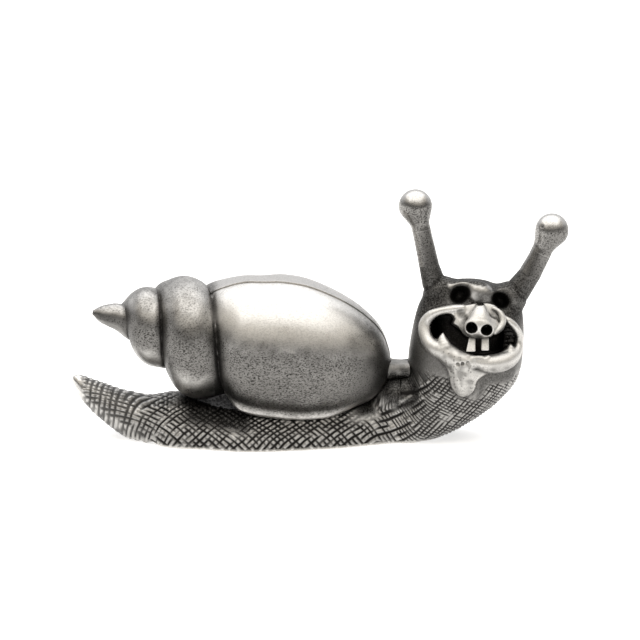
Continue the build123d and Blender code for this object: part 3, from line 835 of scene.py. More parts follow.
@dataclass
class Stalk:
    """One eye stalk: where it grows from the hood, and its knob."""

    side: str
    root: Triple
    lean: float
    length: float
    radius: float = 1.40
    root_radius: float = 2.7
    shift: float = 0.85
    sway: float = 0.14
    pit: Triple | None = None
    pit_radius: float = 0.42
    seat: float = 4.2
    knob_radius: float = 2.4
    knob_neck: float = 3.5
    knob_taper: float = 3.1
    flare_shares: Triple = (1.0, 1.18, 1.55)
    root_fillet: float = 1.5
    outer_fillet: float = 0.6
    fillet_front: Pair = (1.2, 3.2)
    overhang: float = 0.05
    taper: float = 0.05
    collar: float = 0.02
    collar_length: float = 1.2
    straighten: Pair = (4.2, 0.8)
    sleeve: float = 0.35
    filed: float = 0.007
    back_lean: float = math.radians(4.0)
    columns: int = 96
    pitch: float = 0.09

    def __post_init__(self) -> None:
        """Sets the direction of the stalk and two directions across it."""
        lean = math.radians(self.lean)
        self.way = np.array([
            math.sin(lean) * math.cos(self.back_lean), math.sin(self.back_lean),
            math.cos(lean) * math.cos(self.back_lean)])
        self.across = np.cross([0.0, 1.0, 0.0], self.way)
        self.across /= np.linalg.norm(self.across)
        self.behind = np.cross(self.way, self.across)

    def flare(self, points: Array) -> tuple[Array, Array]:
        """Distance from the flared root, and the fillet that it has with the hood there."""
        root = np.array(self.root)
        along = (points - root) @ self.way
        inward = np.array([-math.copysign(self.shift, self.lean), 0.0, 0.0])
        straight = root + self.sway * self.across
        path = np.stack([
            straight + self.way * (self.seat + 0.4), straight + self.way * (self.seat - 0.4),
            root + self.way * 1.2 + inward * 0.35, root + inward, root + inward * 1.7 - self.way * 2.2])
        radii = np.append(self.radius * np.array([1.0, *self.flare_shares]), self.root_radius)
        fillet = self.root_fillet * fade(along, 0.8, self.seat) * ease(along, -2.5, 0.2)
        fillet = fillet * fade(-points[:, 1], *self.fillet_front)
        inner = ease((points - root) @ inward, -0.6, 1.0)
        fillet = fillet * (self.outer_fillet + (1.0 - self.outer_fillet) * inner) + 0.01
        return np.maximum(roll_distance(points, path, radii), along - self.seat - self.overhang), fillet

    def reach(self, along: Array) -> Array:
        """Radius of stalk and knob at distances from the root."""
        down = along - self.length
        ball = np.sqrt(np.maximum(self.knob_radius**2 - down**2, 0.0))
        tube = self.radius * (1.0 - self.taper * ease(along, self.seat, self.length - self.knob_neck))
        pear = tube + (self.knob_radius - tube) * ease(down, -self.knob_taper, 0.0)
        return np.where(down > 0, ball, pear)

    def tube(self, start: float, end: float) -> Surface:
        """The stalk between two distances from the root, closed at both ends."""
        count = int((end - start) / self.pitch)
        part = np.linspace(0.0, 1.0, count)
        if end > self.length:
            part = np.sin(np.linspace(0.0, math.pi / 2, count))
        places = start + (end - start) * part
        turn = np.linspace(0.0, math.tau, self.columns, endpoint=False)
        wave = np.sin(3 * turn[None, :] + places[:, None] * 1.7) + np.sin(5 * turn + places[:, None])
        rough = ease(places, start, start + 0.6) * fade(places, end - 1.0, end)
        reach = self.reach(places)[:, None] * (1.0 - self.filed * (2.0 + wave) * rough[:, None])
        reach = reach * (1.0 + self.collar * fade(places, self.seat, self.seat + self.collar_length)[:, None])
        aside = self.sway * fade(places, *(self.length - below for below in self.straighten))
        middle = np.array(self.root) + places[:, None] * self.way + aside[:, None] * self.across
        rows = middle[:, None] + reach[..., None] * (
            np.cos(turn)[None, :, None] * self.across + np.sin(turn)[None, :, None] * self.behind)
        return capped_tube(rows, middle[0], middle[-1])

    def pitted(self, points: Array) -> Array:
        """One in the middle of the casting pit on the knob, nought away from it."""
        if self.pit is None:
            return np.zeros(len(points))
        centre = np.array(self.root) + self.length * self.way + np.array(self.pit)
        return fade(away_from(points, centre), 0.1, self.pit_radius)


@dataclass
class Face:
    """The grinning face, laid out on a plane that looks up and towards the viewer.

    Places on the face are millimetres to the right and up from its middle.
    """

    slug: Slug
    middle: Triple = (25.1, 0.0, 16.57)
    tilt: float = math.radians(15.0)
    mouth_depth: float = 2.8
    plate: float = 0.30
    nostril_radius: float = 0.94
    eye_depth: float = 1.7
    eye_shapes: tuple = ((1.22, 1.02, 0.6), (1.12, 0.90, -0.6))  # half width, half height and lean of each
    eye_round: float = 0.9
    brow_fillet: float = 1.1
    muzzle_reach: Triple = (2.75, 1.95, 1.75)
    wing_radius: float = 1.05
    wing_fillet: float = 0.9
    nostril_root: float = 0.55
    dimple_radius: float = 0.62
    pit_radius: float = 0.26
    mouth_play: float = 0.25
    seat_depth: float = 0.35
    back: float = 0.6
    search: tuple[float, float, int] = (9.0, -4.0, 700)  # heights at which the skin is looked for

    def __post_init__(self) -> None:
        """Sets the plane and lays the rolls of the face on the skin under them."""
        self.right = np.array([1.0, 0.0, 0.0])
        self.up = np.array([0.0, math.sin(self.tilt), math.cos(self.tilt)])
        self.out = np.array([0.0, -math.cos(self.tilt), math.sin(self.tilt)])
        self.mouth = smooth_path([
            (-6.79, -1.07), (-6.70, -0.28), (-5.97, 0.69), (-4.94, 1.14), (-3.95, 0.96), (-3.53, 0.42),
            (-3.81, -0.21), (-3.10, -0.71), (-2.40, -1.33), (-1.76, -2.03), (0.08, -2.12), (1.59, -2.23),
            (2.40, -1.41), (3.25, -0.71), (3.74, 0.00), (3.98, 0.35), (4.52, -0.21), (5.22, -0.99),
            (5.71, -2.19), (5.57, -2.96), (5.25, -3.67), (4.49, -3.32), (3.74, -3.72), (2.85, -4.36),
            (1.59, -4.63), (0.21, -4.80), (-0.93, -4.73), (-2.19, -4.36), (-3.44, -3.60), (-4.46, -2.47),
            (-5.02, -1.66), (-5.71, -2.12), (-6.28, -2.54), (-6.70, -1.83)], 2, closed=True)
        self.edge = smooth_path([
            (-1.90, 2.33), (-3.57, 2.40), (-5.33, 2.00), (-7.22, 1.31), (-8.10, 0.50), (-8.42, -0.83),
            (-8.20, -2.30), (-7.73, -3.34), (-6.84, -4.23), (-5.59, -4.98), (-4.59, -6.25), (-3.95, -7.62),
            (-3.77, -8.89), (-3.19, -9.74), (-2.19, -10.34), (-1.06, -9.88), (-0.56, -9.14), (-0.48, -8.38),
            (0.34, -7.76), (1.47, -7.20), (3.49, -7.00), (5.00, -6.25), (5.87, -5.11), (6.22, -3.60),
            (6.30, -1.83), (5.25, -0.10), (4.10, 0.70), (3.40, 1.30), (2.20, 2.40), (0.34, 2.70)],
            2, closed=True)
        self.lips = self.roll([
            (-2.26, 1.98, 0.42, 0.20), (-3.57, 1.83, 0.56, 0.20), (-5.28, 1.55, 0.55, 0.25),
            (-6.60, 1.00, 0.70, 0.30), (-7.45, 0.00, 0.80, 0.35), (-7.60, -1.00, 0.84, 0.40),
            (-7.30, -2.20, 0.90, 0.35), (-6.70, -3.10, 1.05, 0.28), (-5.90, -3.75, 1.25, 0.20),
            (-4.85, -4.15, 1.42, 0.10), (-3.75, -4.90, 1.48, 0.05), (-2.60, -5.40, 1.25, 0.15),
            (-1.10, -5.55, 0.95, 0.40), (0.00, -5.70, 1.00, 0.40), (1.50, -5.90, 1.28, 0.40),
            (3.15, -5.65, 1.34, 0.40), (4.40, -5.05, 1.22, 0.40), (5.20, -4.30, 0.95, 0.35),
            (5.66, -3.25, 0.66, 0.30), (5.72, -1.85, 0.60, 0.35), (4.98, -0.60, 0.58, 0.35),
            (4.20, 0.20, 0.44, 0.25)])
        self.crescent = self.roll([
            (2.10, 1.95, 0.28, 0.55), (3.05, 1.25, 0.40, 0.75), (3.42, 0.25, 0.46, 0.90),
            (3.10, -0.75, 0.46, 1.00), (2.35, -1.40, 0.40, 1.05)])
        self.corner = self.roll([
            (-5.02, -1.60, 0.12, 0.55), (-5.05, -2.50, 0.62, 0.55), (-4.70, -3.60, 1.00, 0.50)])
        self.peak = self.roll([(4.49, -3.10, 0.12, 0.35), (4.45, -3.95, 0.62, 0.40)])
        self.brow = self.roll([
            (-4.70, 5.55, 0.16, 0.00), (-3.95, 5.05, 0.26, 0.08), (-2.80, 5.28, 0.34, 0.12),
            (-1.55, 5.22, 0.55, 0.12), (-0.50, 4.75, 1.05, -0.05), (0.25, 4.20, 1.45, -0.35),
            (1.15, 3.80, 0.75, -0.05), (2.10, 4.02, 0.32, 0.08), (2.95, 4.16, 0.24, 0.10),
            (3.90, 3.92, 0.24, 0.08), (4.60, 3.10, 0.20, 0.00)])
        self.bridge = self.roll([
            (0.22, 2.45, 0.42, 0.35), (0.20, 1.65, 0.95, 0.58), (0.10, 0.75, 1.42, 0.84),
            (0.02, -0.20, 1.66, 0.96)])
        self.wings = self.lifts((-1.06, -0.76, 1.40), (1.09, -1.07, 1.40))
        self.muzzle = self.lift(0.05, -0.45, 0.05)
        self.chin = self.roll([
            (-2.30, -5.70, 1.60, -0.25), (-2.15, -7.10, 1.75, -0.30), (-2.15, -8.50, 1.45, -0.10),
            (-2.15, -9.30, 1.00, 0.15)])
        self.crease = self.roll([
            (-3.90, -6.10, 0.05, 1.25), (-2.80, -6.05, 0.10, 1.42), (-1.40, -5.95, 0.12, 1.38),
            (-0.30, -6.45, 0.16, 1.10), (0.60, -6.95, 0.12, 0.80)])
        self.dimples = self.lifts((-2.45, 1.15, 0.75), (-2.20, 0.35, 1.05), (2.05, 1.10, 1.00))
        self.eyes = self.lifts((-2.62, 3.80, -0.45), (3.10, 3.05, -0.45))
        self.scallops = [(self.lift(u, v, 1.0), radius) for u, v, radius in (
            (-1.50, -4.82, 0.24), (-0.66, -5.08, 0.38), (-0.12, -4.90, 0.22), (0.30, -5.04, 0.34),
            (0.92, -5.22, 0.38), (1.34, -4.90, 0.26))]
        self.pits = [self.lift(u, v, 1.50) for u, v in (
            (-3.30, -6.90), (-2.98, -5.94), (-2.30, -5.85), (-1.55, -5.72), (-1.28, -6.22), (-0.66, -6.42),
            (-0.13, -6.56), (0.42, -6.80), (-0.62, -7.70), (-0.85, -8.40))]

    def spread(self, points: Array, origin: Array | None = None) -> tuple[Array, Array, Array]:
        """Places to the right, up and outwards of a point, or of the middle of the face."""
        offset = points - np.array(self.middle if origin is None else origin)
        return offset @ self.right, offset @ self.up, offset @ self.out

    def place(self, u: float, v: float, w: Array) -> Array:
        """Points at distances out from a place on the face."""
        return np.array(self.middle) + u * self.right + v * self.up + np.multiply.outer(w, self.out)

    def lift(self, u: float, v: float, height: float) -> Array:
        """A point at a height over the skin at a place on the face."""
        depths = np.linspace(*self.search)
        inside = self.slug.neck(self.place(u, v, depths)) < 0
        surface = depths[np.argmax(inside)] if inside.any() else 0.0
        return self.place(u, v, np.array(surface + height))

    def lifts(self, *places: Triple) -> list[Array]:
        """Points over the skin, each with its place on the face and its height."""
        return [self.lift(*place) for place in places]

    def roll(self, rows: list[tuple[float, float, float, float]]) -> tuple[Array, Array]:
        """A smooth roll through places, each with its radius and its height over the skin."""
        path = smooth_path([(*self.lift(u, v, height), radius) for u, v, radius, height in rows], 3)
        return path[:, :3], path[:, 3]

    def mouth_form(self, points: Array) -> Array:
        """Distance from the hollow of the mouth."""
        u, v, _ = self.spread(points)
        depth = -self.slug.neck(points) - self.mouth_depth
        return overlap(outline_distance(u, v, self.mouth), depth, 0.6)

    def eye_form(self, points: Array) -> Array:
        """Distance from the hollows of the eyes."""
        hollows = []
        for centre, (wide, high, lean) in zip(self.eyes, self.eye_shapes):
            u, v, w = self.spread(points, centre)
            along = u * math.cos(lean) + v * math.sin(lean)
            across = v * math.cos(lean) - u * math.sin(lean)
            local = np.stack([along, across, w], axis=1)
            hollows.append(ball_distance(local, np.zeros(3), np.array([wide, high, self.eye_depth])))
        return np.minimum(*hollows)

    def nose_form(self, points: Array) -> Array:
        """Distance from the nose with its wings."""
        nose = roll_distance(points, *self.bridge)
        for centre in self.wings:
            nose = join(nose, away_from(points, centre) - self.wing_radius, self.wing_fillet)
        return nose

    def nostril_form(self, points: Array) -> Array:
        """Distance from the hollows of the nostrils."""
        radii = np.array([self.nostril_root, self.nostril_radius])
        holes = []
        for centre in self.wings:
            inner = centre - 0.9 * self.out + 0.5 * self.up
            outer = centre + 1.8 * self.out - 0.35 * self.up
            holes.append(roll_distance(points, np.stack([inner, outer]), radii))
        return np.minimum(*holes)

    def mask(self, points: Array) -> Array:
        """Distance from the bright face."""
        u, v, w = self.spread(points)
        edge = outline_distance(u, v, self.edge)
        layer = np.abs(self.slug.neck(points) + self.seat_depth) - self.seat_depth - self.plate
        local = np.stack(self.spread(points, self.muzzle), axis=1)
        muzzle = ball_distance(local, np.zeros(3), np.array(self.muzzle_reach))
        form = cut(overlap(edge, layer, 0.25), self.mouth_form(points) - self.mouth_play, 0.2)
        form = join(form, roll_distance(points, *self.lips), 0.35)
        form = join(form, overlap(muzzle, edge, 0.3), 0.35)
        for roll, fillet in ((self.crescent, 0.25), (self.chin, 0.9), (self.corner, 0.2), (self.peak, 0.2)):
            form = join(form, roll_distance(points, *roll), fillet)
        for centre, radius in self.scallops:
            form = join(form, away_from(points, centre) - radius, 0.3)
        form = cut(join(form, self.nose_form(points), 0.3), self.nostril_form(points), 0.12)
        for centre in self.dimples:
            form = cut(form, away_from(points, centre) - self.dimple_radius, 0.35)
        for centre in self.pits:
            form = cut(form, away_from(points, centre) - self.pit_radius, 0.15)
        return overlap(form, -w - self.back, 0.1)

    def head(self, points: Array, stalks: list[Stalk]) -> Array:
        """Distance from the hood with its sockets, the roots of the stalks and the seat of the face."""
        w = self.spread(points)[2]
        form = join(self.slug.whole(points), roll_distance(points, *self.brow), self.brow_fillet)
        for stalk in stalks:
            form = join(form, *stalk.flare(points))
        form = cut(form, self.eye_form(points), self.eye_round)
        return cut(form, np.where(w > 0, self.mouth_form(points), 1.0), 0.1)


@dataclass
class Piece:
    """A finished piece: its mesh, finish, slot and the nodes that it stands for."""

    name: str
    surface: Surface
    slot: Slot
    replaces: tuple[str, ...]

    def build(self, material: bpy.types.Material) -> bpy.types.Object:
        """Makes the object and links it to the scene."""
        mesh = self.surface.mesh(self.name)
        mesh.materials.append(material)
        return show(self.name, mesh)

    def declare(self, piece: bpy.types.Object) -> None:
        """Tells the frame what the piece rides on and stands for."""
        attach(piece, "root")
        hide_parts(*self.replaces)
        LOG.info("%s: %d faces", self.name, len(piece.data.polygons))


def relief(surface: Surface, fine: int, broad: int, gain: float) -> tuple[Array, Array]:
    """Hollows and high places of a surface, each from nought to one."""
    small, large = surface.hollowness(fine), surface.hollowness(broad)
    depth = small * gain * FINE_SHARE + large * gain
    return np.clip(depth, 0.0, 1.0), np.clip(-depth, 0.0, 1.0)


@dataclass
class SoftBody:
    """Foot and neck with the engraved skirt, and the hood."""

    slug: Slug
    shell: ShellForm
    face: Face
    stalks: list[Stalk]
    rows: int = 455
    side_columns: int = 88
    top_columns: int = 20
    sole_columns: int = 12
    core_height: float = 1.2
    seat_gap: float = 0.02
    head_pitch: float = 0.13
    seat_round: float = 0.10
    web_centre: Triple = (13.6, 0.0, 6.2)
    web_reach: Triple = (3.4, 3.9, 2.7)
    web_fillet: float = 1.6
    fan_ends: tuple[float, ...] = (-14.0, 47.0, 133.0, 194.0, 346.0)
    ray_reach: float = 13.0
    ray_rounds: int = 20
    row_crowding: float = 0.010
    row_start: float = 0.03
    row_overrun: float = 0.15
    head_low: Triple = (13.9, -7.6, -0.3)
    head_high: Triple = (33.6, 7.0, 25.6)
    tail_end: Pair = (-27.0, -18.0)
    chest_start: Pair = (10.0, 19.0)
    # How the lines run along and down the body: at the tail, more on the side, more on the chest.
    first_along: Triple = (1.0, -0.30, 0.25)
    first_down: Triple = (0.15, 0.50, 0.18)
    second_along: Triple = (0.25, 0.50, -0.05)
    second_down: Triple = (0.95, -0.27, 0.85)
    crossing_loss: float = 0.05
    bend_height: float = 5.0
    bend_rise: float = 1.3
    skirt_top: float = 7.6
    chest_top: float = 10.9
    chest_fall: float = 0.07
    top_blur: float = 0.5
    tail_x: float = -21.0
    hem: Pair = (0.22, 0.42)
    tail_tip: Pair = (-31.3, -30.2)
    tail_lines: float = 0.86
    tail_lines_end: Pair = (-27.0, -19.0)
    sole_facing: Pair = (-0.97, -0.9)
    saddle_facing: Pair = (0.55, 0.85)
    saddle_x: Pair = (6.0, 9.0)
    crest_path: tuple = ((11.7, 3.95), (13.9, 4.55), (15.6, 5.60))
    crest_radii: Triple = (0.02, 0.07, 0.02)
    crest_blur: float = 0.26
    cheek_side: Pair = (-2.0, 0.5)
    face_front: Pair = (0.0, 1.8)
    cheek_lines: Pair = (0.4, 1.9)
    # Bands of painted shade: beside the cheek, round the face, under the lug, and on the foot between the
    # whorls.
    cheek_shade_range: Pair = (1.0, 2.6)
    rim_shade_range: Pair = (0.2, 1.4)
    lug_spot: Pair = (14.2, 7.2)
    lug_shade_range: Pair = (2.2, 4.2)
    smoke_height: Pair = (7.8, 10.8)
    hood_height: Pair = (14.5, 18.5)
    notch_facing: Pair = (0.45, 0.8)
    notch_start: Pair = (-19.0, -15.0)
    notch_end: Pair = (-8.0, -5.0)

    def seated(self, body: Array, points: Array) -> Array:
        """Distance from a body with the web under the lug and the seat for the shell."""
        web = ball_distance(points, np.array(self.web_centre), np.array(self.web_reach))
        body = join(body, web, self.web_fillet)
        return cut(body, self.shell.distance(points) - self.seat_gap, self.seat_round)

    def foot_form(self, points: Array) -> Array:
        """Distance from the slug without its face."""
        return self.seated(self.slug.whole(points), points)

    def head_form(self, points: Array) -> Array:
        """Distance from the casting in front of the joint."""
        body = self.seated(self.face.head(points, self.stalks), points)
        return np.maximum(body, self.slug.joint_x - points[:, 0])

    def foot_surface(self) -> Surface:
        """The foot, drawn out from its core to the form along rays."""
        ends = np.radians(self.fan_ends)
        counts = (self.side_columns, self.top_columns, self.side_columns, self.sole_columns)
        turn = np.concatenate([
            np.linspace(*span, count, endpoint=False) for *span, count in zip(ends, ends[1:], counts)])
        share = np.linspace(0.0, 1.0, self.rows)
        share = share + self.row_crowding * np.sin(math.pi * share) * (share - 1.0)
        reach = self.slug.joint_x + self.slug.tail_reach + self.row_overrun - self.row_start
        x = self.row_start - self.slug.tail_reach + share * reach
        core = np.maximum(self.slug.foot_section(x)[0], self.core_height)
        middle = np.stack([x, np.zeros_like(x), core], axis=1)
        way = np.stack([np.zeros_like(turn), np.cos(turn), np.sin(turn)], axis=1)
        inner = np.zeros((self.rows, len(turn)))
        outer = np.full_like(inner, self.ray_reach)
        for _ in range(self.ray_rounds):
            half = (inner + outer) / 2
            points = middle[:, None] + half[..., None] * way[None]
            outside = sample(self.foot_form, points.reshape(-1, 3)).reshape(half.shape) > 0
            outer, inner = np.where(outside, half, outer), np.where(outside, inner, half)
        rows = middle[:, None] + inner[..., None] * way[None]
        tip = np.array([-self.slug.tail_reach, 0.0, self.slug.tail_lift])
        return capped_tube(rows[:, ::-1], tip, middle[-1])

    def head_surface(self) -> Surface:
        """Neck, hood and roots of the stalks."""
        return skin(self.head_form, np.array(self.head_low), np.array(self.head_high), self.head_pitch)

    def lines(self, points: Array) -> tuple[Array, Array, Array]:
        """Values that count the lines of each family, and how strong the second family is."""
        x, _, z = points.T
        along, down = self.slug.hatch(points)
        stations = np.linspace(-40.0, 40.0, 400)

        def mixed(terms: Triple, turned: Array, chest: Array) -> Array:
            """How the lines run, from the tail over the side to the chest."""
            return terms[0] + terms[1] * turned + terms[2] * chest

        def run(terms: Triple) -> Array:
            """Lines passed on the way along the body."""
            ends = ease(stations, *self.tail_end), ease(stations, *self.chest_start)
            return np.interp(along, stations, np.cumsum(mixed(terms, *ends)) * (stations[1] - stations[0]))

        turned = np.interp(along, stations, ease(stations, *self.tail_end))
        chest = np.interp(along, stations, ease(stations, *self.chest_start))
        ramp = self.bend_rise * np.maximum(x - self.slug.joint_x, 0.0)
        bend = np.maximum(z - self.bend_height - ramp, 0.0) * chest
        first = run(self.first_along) + (down + bend) * mixed(self.first_down, turned, chest)
        second = run(self.second_along) - down * mixed(self.second_down, turned, chest)
        return first, second, 1.0 - self.crossing_loss * chest

    def lined(self, points: Array, rise: Array) -> Array:
        """How deep the lines are cut, by the height of the skirt and the turn of the skin."""
        x, _, z = points.T
        top = np.where(x < self.slug.joint_x, self.skirt_top,
                       self.chest_top - self.chest_fall * (x - self.slug.joint_x))
        shown = fade(z, top - self.top_blur, top + self.top_blur)
        shown = np.where(x < self.tail_x, 1.0, shown) * ease(z, *self.hem)
        tail = self.tail_lines + (1.0 - self.tail_lines) * ease(x, *self.tail_lines_end)
        return shown * (ease(x, *self.tail_tip) * ease(rise, *self.sole_facing) * tail)

    def crest(self, points: Array) -> Array:
        """A pale, unhatched line along the top of the skirt beside the lug, placed as it is seen from the
        front: a painted highlight.
        """
        x, y, z = points.T
        seen = np.stack([x, z * math.cos(self.face.tilt) + y * math.sin(self.face.tilt)], axis=1)
        line = roll_distance(seen, np.array(self.crest_path), np.array(self.crest_radii))
        return 0.5 * fade(line, 0.0, self.crest_blur) * (y < 0)

    def mark(self, surface: Surface) -> None:
        """Stores where the lines are cut, where the metal is black or rubbed, and where shade and light are
        painted on.
        """
        points, rise = surface.points, surface.normals()[:, 2]
        x, y, z = points.T
        u, v, w = self.face.spread(points)
        edge = outline_distance(u, v, self.face.edge)
        front = ease(w, *self.face_front)
        cheek = ease(u, *self.cheek_side) * front
        saddle = ease(rise, *self.saddle_facing) * ease(x, *self.saddle_x)
        crest = self.crest(points)
        keep = (1.0 - saddle) * (1.0 - 0.8 * crest) * (1.0 - fade(edge, *self.cheek_lines) * cheek)
        first, second, crossing = self.lines(points)
        surface.values["hatch"] = np.stack([first, second, self.lined(points, rise) * keep], axis=1)
        surface.values["crossing"] = crossing

        hollow, high = relief(surface, 6, 60, 2.2)
        # Painted shade on the body near the shell, wider under the spire.
        crevice_shade = fade(self.shell.distance(points) / np.where(x < -5.0, 2.0, 1.2), 0.0, 1.0)
        mouth = fade(self.face.mouth_form(points), 0.05, 0.3) * (w > 0)
        eyes = fade(self.face.eye_form(points), 0.08, 1.0)
        # Painted shadow round the raised face.
        rim_shade = fade(np.abs(edge), *self.rim_shade_range) * front
        # Painted shade under the lug.
        lug_x, lug_z = self.lug_spot
        lug = fade(np.hypot(x - lug_x, (z - lug_z) / 0.8), *self.lug_shade_range) * (np.abs(y) < 4.5)
        brow = fade(roll_distance(points, *self.face.brow), 0.05, 0.40)
        smoke = ease(z, *self.smoke_height) * (x > self.slug.joint_x)
        smoke = smoke * (0.70 + 0.24 * ease(z, *self.hood_height) - 0.3 * high) * (1.0 - brow)
        skirt = (x > -30.5) * ease(z, 0.2, 0.5)
        # Painted shade on the top of the foot between the whorls.
        notch_shade = ease(rise, *self.notch_facing) * ease(x, *self.notch_start) * fade(x, *self.notch_end)
        # The band beside the cheek is painted shade too.
        black = np.maximum.reduce([
            hollow, mouth, eyes, smoke, 0.95 * crevice_shade, 0.95 * notch_shade, 0.92 * saddle, 0.92 * lug, 0.80 * rim_shade,
            0.80 * fade(edge, *self.cheek_shade_range) * cheek, 0.26 * skirt])
        # Along the crest the black gives way to its painted highlight.
        surface.values["patina_and_shade"] = np.clip(black * (1.0 - 0.85 * crest), 0.0, 1.0)
        # Rubbed on high places and the brow; the share by how far the skin faces up is painted light.
        pale_metal = 0.55 + 0.9 * high + 0.35 * ease(rise, -0.1, 0.7) + 0.6 * brow + 0.4 * crest
        surface.values["rub_and_light"] = np.clip(pale_metal, 0.0, 1.0) * (1.0 - np.maximum(mouth, eyes))

    def build(self, material: bpy.types.Material) -> None:
        """Makes the foot and the neck and engraves them."""
        for name, surface in (("foot", self.foot_surface()), ("neck_and_head", self.head_surface())):
            self.mark(surface)
            piece = Piece(f"engraved_{name}", surface, Slot.ENGRAVED, (name,))
            made = piece.build(material)
            Engraver().engrave(made, material)
            piece.declare(made)


class ShellWinder(NodeTool):
    """Winds a flat sheet of places and turns into the spiral shell."""

    lead: float = 16.0  # whole whorls, which keep the count above nought
    cusp: Pair = (0.90, 1.0)
    cusp_share: float = 0.10
    suture: Pair = (0.60, 1.0)
    dents: float = 0.16
    weld: float = 0.001

    def __init__(self, form: ShellForm) -> None:
        """Takes the sizes of the spiral."""
        super().__init__("shell_winder", {
            "Growth": form.growth, "Root": form.root, "Groove": form.groove, "Dip": form.dip,
            "Seat X": form.seat[0], "Seat Z": form.seat[2], "Dent": 0.05})

    def wind(self, piece: bpy.types.Object, material: bpy.types.Material) -> None:
        """Moves each point of a sheet to its place on the shell."""
        graph, sizes = self.start()
        place, turn, radius, lift, shown, share, step = (
            self.named(graph, key) for key in ("place", "turn", "radius", "lift", "shown", "share", "step"))
        wound = graph.math("LOGARITHM", (place + sizes["Root"]) / sizes["Root"], sizes["Growth"])
        across = graph.math("FRACT", wound - turn / math.tau + self.lead) * 2.0 - 1.0
        beside = graph.math("ABSOLUTE", across)
        sink = shown * sizes["Groove"] * (across * across + graph.ease(beside, *self.cusp) * self.cusp_share)
        cosine, sine = graph.math("COSINE", turn), graph.math("SINE", turn)
        wave = graph.noise(graph.xyz(place, radius * cosine, radius * sine), self.dents, 2.0)
        reach = (radius * (1.0 - sink) + step + (wave - 0.5) * sizes["Dent"] * 2.0) * share
        rise = lift - reach * sine
        tilt_cos, tilt_sin = graph.math("COSINE", sizes["Dip"]), graph.math("SINE", sizes["Dip"])
        x = sizes["Seat X"] + place * tilt_cos + rise * tilt_sin
        z = sizes["Seat Z"] - place * tilt_sin + rise * tilt_cos
        spot = graph.xyz(x * MM, reach * cosine * -MM, z * MM)
        moved = graph.wire("GeometryNodeSetPosition", 0, {"Geometry": sizes["Geometry"], "Position": spot})
        kept = self.store(graph, moved, "suture", graph.ease(beside, *self.suture) * shown)
        joined = graph.wire("GeometryNodeMergeByDistance", 0, {"Geometry": kept, "Distance": self.weld * MM})
        self.run(piece, self.end(graph, joined, material))


